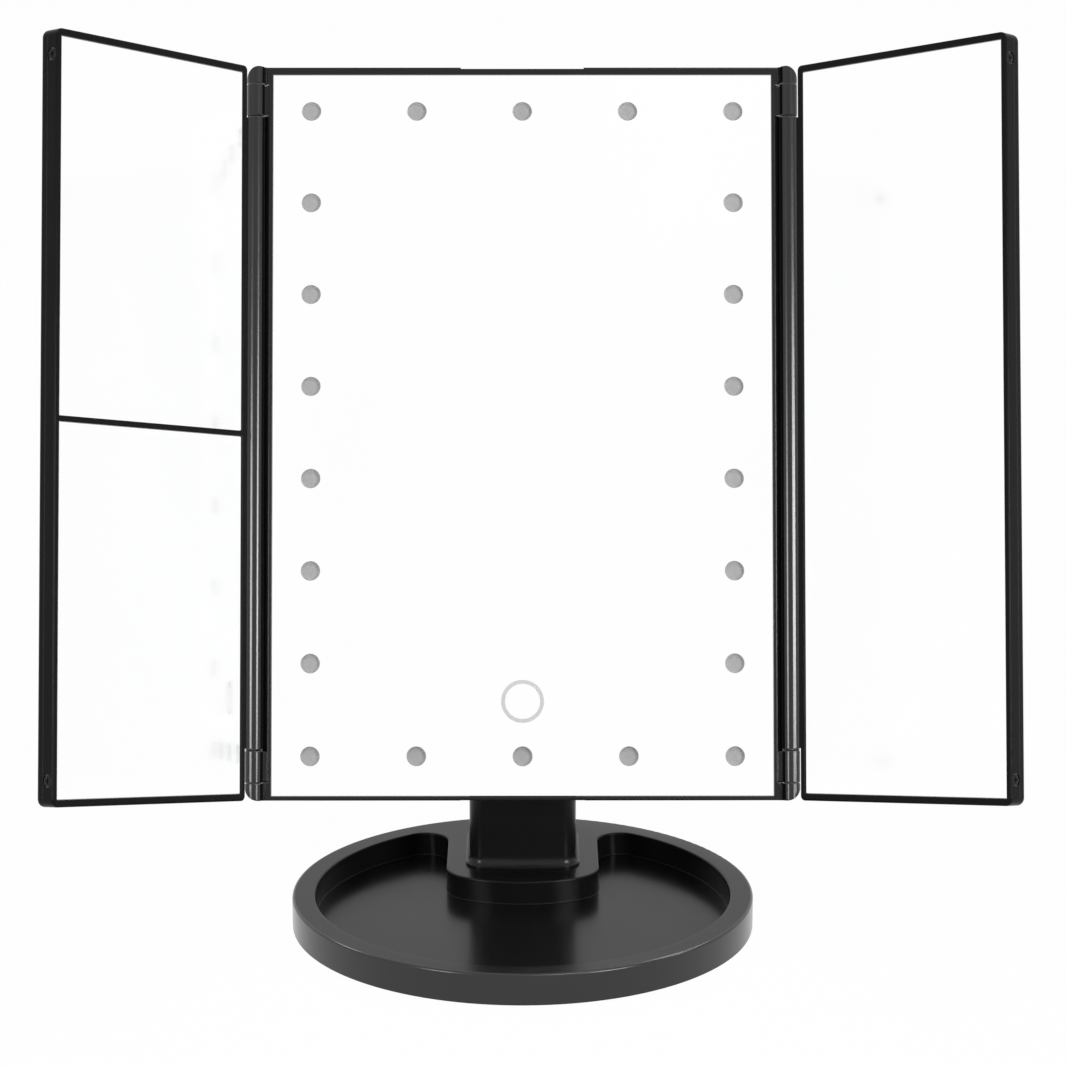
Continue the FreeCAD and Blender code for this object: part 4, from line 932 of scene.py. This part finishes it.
lens_frost = moulded(
    "lens_frost",
    tones=((0.32, 0.32, 0.322), (0.345, 0.345, 0.347)),
    roughness=(0.45, 0.6),
    grain=(2600.0, 0.00002),
    edge_radius=0.0,
    sheen=0.4,
)
start_clean()
bpy.ops.mesh.primitive_cylinder_add(
    vertices=48,
    radius=LENS_RADIUS,
    depth=LENS_TOP - LENS_FOOT,
    location=(0, 0, (LENS_TOP + LENS_FOOT) / 2),
)
lens = bpy.context.object
bpy.ops.object.transform_apply(location=True)
bpy.ops.object.mode_set(mode="EDIT")
pick(lens, "FACE", facing(0, 0, 1))
bpy.ops.mesh.inset(thickness=LENS_RIM)
for rise in LENS_RISES:
    bpy.ops.mesh.inset(thickness=LENS_STEP)
    bpy.ops.transform.translate(value=(0, 0, rise))
smooth(lens)
lamp_step_x = LAMP_X / 2
lamp_step_y = (PANEL_HEIGHT - 2 * LAMP_Y) / (LAMPS_UP - 1)
lamp_places = [
    (side * LAMP_X, LAMP_Y + step * lamp_step_y) for side in (-1, 1) for step in range(LAMPS_UP)
]
for step in (-1, 0, 1):
    lamp_places.append((step * lamp_step_x, LAMP_Y))
    lamp_places.append((step * lamp_step_x, PANEL_HEIGHT - LAMP_Y))
for count, (x, y) in enumerate(lamp_places):
    spot = HEAD @ Matrix.Translation((x, y, 0))
    name = f"lamp_lens_{count + 1}"
    fit(copy_of(lens), name, spot, lens_frost, "head", "lamp_lenses")
    bpy.data.objects[name].visible_glossy = False
bpy.data.objects.remove(lens)

ring_frost = moulded(
    "ring_frost",
    tones=((0.565, 0.57, 0.575), (0.605, 0.61, 0.615)),
    roughness=(0.6, 0.8),
    grain=(4200.0, 0.00002),
    edge_radius=0.0,
    sheen=0.3,
)
dress("touch_ring", ring_frost)


# Hinge caps, pins and washers: black moulded caps close the four hinge corners.
# Each is pressed over a steel pin that runs through the knuckle into the wing's barrel.
# A thin black washer on the pin keeps the barrel off the knuckle; it wears the painted shade of the
# gaps.

KNUCKLE_END = 0.0161
WASHER_RADIUS = 0.0027
WASHER_HOLE = 0.0013
WASHER_THICKNESS = 0.00026

hinge_ends = smooth_moulding("hinge_caps", frame_plastic, "head")
polish_hinges(hinge_ends)

start_clean()
hole_share = WASHER_HOLE / WASHER_RADIUS
bpy.ops.mesh.primitive_circle_add(vertices=64, radius=WASHER_RADIUS, fill_type="NOTHING")
washer = bpy.context.object
bpy.ops.object.mode_set(mode="EDIT")
bpy.ops.mesh.select_all(action="SELECT")
bpy.ops.mesh.extrude_edges_move(TRANSFORM_OT_translate={"value": (0, 0, 0)})
bpy.ops.transform.resize(value=(hole_share, hole_share, 1))
bpy.ops.mesh.select_all(action="SELECT")
bpy.ops.mesh.normals_make_consistent(inside=False)
bpy.ops.object.mode_set(mode="OBJECT")
bpy.ops.object.modifier_add(type="SOLIDIFY")
washer.modifiers[-1].thickness = WASHER_THICKNESS
washer.modifiers[-1].offset = 0
bpy.ops.object.modifier_apply(modifier=washer.modifiers[-1].name)
washer_y = KNUCKLE_END + WASHER_THICKNESS / 2
washer_places = [
    (side * HINGE_X, y) for side in (-1, 1) for y in (washer_y, PANEL_HEIGHT - washer_y)
]
for count, (x, y) in enumerate(washer_places):
    spot = HEAD @ Matrix.Translation((x, y, HINGE_Z)) @ Matrix.Rotation(math.pi / 2, 4, "X")
    name = f"hinge_washer_{count + 1}"
    # The washers get the painted gap shade, so the gaps read dark.
    fit(copy_of(washer), name, spot, gap_painted_shade, "head")
    bpy.data.objects[name].visible_glossy = False
bpy.data.objects.remove(washer)
dress("hinge_pins", zinc_plate)


# Wings: each is a glossy front frame with its hinge barrel, a thin textured back and silvered panes.
# The left one has two panes with a bar between them, the right one a single pane, all on foam tape.
# Two short blackened screws are sunk in the outer side of each.

WING_REACH = 0.0858
WING_SWINGS = {"left_wing": 50.0, "right_wing": 43.7}
SIDE_SCREW_LENGTH = 0.00065
SIDE_SCREW_RADIUS = 0.0009
SIDE_HEAD_RADIUS = 0.0017
SIDE_HEAD_HEIGHT = 0.0007
SIDE_SCREW_SEAT = 0.00095
SIDE_SCREW_Z = 0.0111
SIDE_SCREW_YS = (0.008, 0.23)

black_steel = plated_metal(
    "black_steel", tones=((0.016, 0.016, 0.0165), (0.026, 0.026, 0.027)), roughness=(0.34, 0.46)
)
side_screw = screw_blank(
    SIDE_SCREW_LENGTH, SIDE_SCREW_RADIUS, SIDE_HEAD_RADIUS, SIDE_HEAD_HEIGHT
)
wing_rims = []
for side, wing in ((-1, "left_wing"), (1, "right_wing")):
    wing_rims.append(smooth_moulding(f"{wing}_frame", frame_plastic, wing))
    polish_hinges(wing_rims[-1])
    dress(f"{wing}_tape", tape_foam)
    hinge = Matrix.Translation((side * HINGE_X, 0, HINGE_Z))
    swung = HEAD @ hinge @ Matrix.Rotation(math.radians(-side * WING_SWINGS[wing]), 4, "Y")
    behind = facing(*(swung.to_3x3() @ Vector((0, 0, -1))))
    wing_shell = smooth_moulding(f"{wing}_back", frame_plastic, wing)
    wing_shell.data.materials.append(back_plastic)
    for face in wing_shell.data.polygons:
        face.material_index = int(behind(face))
    wing_rims.append(wing_shell)
    for count, y in enumerate(SIDE_SCREW_YS):
        seat_x = side * (WING_REACH - SIDE_SCREW_SEAT)
        seat = Matrix.Translation((seat_x, y, SIDE_SCREW_Z - HINGE_Z))
        spot = swung @ seat @ Matrix.Rotation(side * math.pi / 2, 4, "Y")
        name = f"{wing}_screw_{count + 1}"
        fit(copy_of(side_screw), name, spot, black_steel, wing, f"{wing}_screws")
bpy.data.objects.remove(side_screw)
for pane in ("left_lower_mirror", "left_upper_mirror", "right_mirror"):
    dress(pane, mirror_silver)

# The panes show the white surroundings, and not the frames round them or what lies behind them.
inside = ("lamp_board", "control_board", "touch_pad", "lamp_chips", "hinge_pins", "touch_ring")
tapes = ("mirror_tape", "left_wing_tape", "right_wing_tape")
unmirrored = [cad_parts[node] for node in inside + tapes]
for piece in (front_border, back_shell, hinge_ends, *wing_rims, *unmirrored):
    piece.visible_glossy = False


# Studio: a white floor, white surroundings, soft boxes and the camera.
# The floor and the world show plain white to the camera and in reflections.
# To the camera a small share of the floor is its own shading, with a trace of the shadow in it.

AIM = Vector((0, 0, 0.16))
PLAIN_WHITE_SHARE = 0.985

floor_material, floor_shader, floor_nodes, floor_links = new_material("studio_floor")
floor_shader.inputs["Base Color"].default_value = (0.8, 0.8, 0.8, 1)
floor_shader.inputs["Roughness"].default_value = 0.9
floor_glow = floor_nodes.new("ShaderNodeEmission")
floor_mix = floor_nodes.new("ShaderNodeMixShader")
floor_path = floor_nodes.new("ShaderNodeLightPath")
floor_share = floor_nodes.new("ShaderNodeMath")
floor_share.operation = "MULTIPLY"
floor_share.inputs[1].default_value = PLAIN_WHITE_SHARE
floor_seen = floor_nodes.new("ShaderNodeMath")
floor_seen.operation = "MAXIMUM"
floor_links.new(floor_path.outputs["Is Camera Ray"], floor_share.inputs[0])
floor_links.new(floor_share.outputs["Value"], floor_seen.inputs[0])
floor_links.new(floor_path.outputs["Is Glossy Ray"], floor_seen.inputs[1])
floor_links.new(floor_seen.outputs["Value"], floor_mix.inputs["Fac"])
floor_links.new(floor_shader.outputs["BSDF"], floor_mix.inputs[1])
floor_links.new(floor_glow.outputs["Emission"], floor_mix.inputs[2])
floor_links.new(floor_mix.outputs["Shader"], floor_nodes["Material Output"].inputs["Surface"])
start_clean()
bpy.ops.mesh.primitive_plane_add(size=14)
floor = bpy.context.object
floor.name = "studio_floor"
floor.data.materials.append(floor_material)
floor_material.cycles.emission_sampling = "NONE"

world = bpy.data.worlds.new("studio_world")
bpy.context.scene.world = world
world.use_nodes = True
world_nodes, world_links = world.node_tree.nodes, world.node_tree.links
world_nodes.clear()
sky = world_nodes.new("ShaderNodeBackground")
sky.inputs["Color"].default_value = (1, 1, 1, 1)
sky_out = world_nodes.new("ShaderNodeOutputWorld")
sky_path = world_nodes.new("ShaderNodeLightPath")
sky_seen = world_nodes.new("ShaderNodeMath")
sky_seen.operation = "MAXIMUM"
sky_clear = world_nodes.new("ShaderNodeMath")
sky_clear.operation = "MAXIMUM"
sky_level = world_nodes.new("ShaderNodeMapRange")
sky_level.inputs["To Min"].default_value = 0.16
sky_level.inputs["To Max"].default_value = 1.0
world_links.new(sky_path.outputs["Is Camera Ray"], sky_seen.inputs[0])
world_links.new(sky_path.outputs["Is Glossy Ray"], sky_seen.inputs[1])
world_links.new(sky_seen.outputs["Value"], sky_clear.inputs[0])
world_links.new(sky_path.outputs["Is Transmission Ray"], sky_clear.inputs[1])
world_links.new(sky_clear.outputs["Value"], sky_level.inputs["Value"])
world_links.new(sky_level.outputs["Result"], sky.inputs["Strength"])
world_links.new(sky.outputs["Background"], sky_out.inputs["Surface"])
world.cycles.sampling_method = "NONE"


def soft_box(name, place, width, height, power):
    """A soft box that faces the middle of the object."""
    lamp = bpy.data.lights.new(name, "AREA")
    lamp.shape = "RECTANGLE"
    lamp.size = width
    lamp.size_y = height
    lamp.energy = power
    box = bpy.data.objects.new(name, lamp)
    bpy.context.scene.collection.objects.link(box)
    box.location = place
    box.rotation_euler = (AIM - Vector(place)).to_track_quat("-Z", "Y").to_euler()


soft_box("left_box", (-0.83, -0.99, 0.44), width=0.33, height=0.27, power=4.7)
soft_box("right_box", (0.87, -0.97, 0.47), width=0.39, height=0.29, power=8.5)
soft_box("top_box", (0.35, -0.55, 1.25), width=0.5, height=0.4, power=4.8)

camera_data = bpy.data.cameras.new("photo_camera")
camera_data.sensor_width = 36.0
camera_data.lens = 112.0
camera_data.clip_start = 0.05
camera_data.clip_end = 50.0
camera = bpy.data.objects.new("photo_camera", camera_data)
bpy.context.scene.collection.objects.link(camera)
camera.location = (0.00081, -1.02327, 0.38298)
camera.rotation_euler = (math.radians(76.2), 0, math.radians(-0.143))
bpy.context.scene.camera = camera
bpy.context.scene.view_settings.view_transform = "Standard"
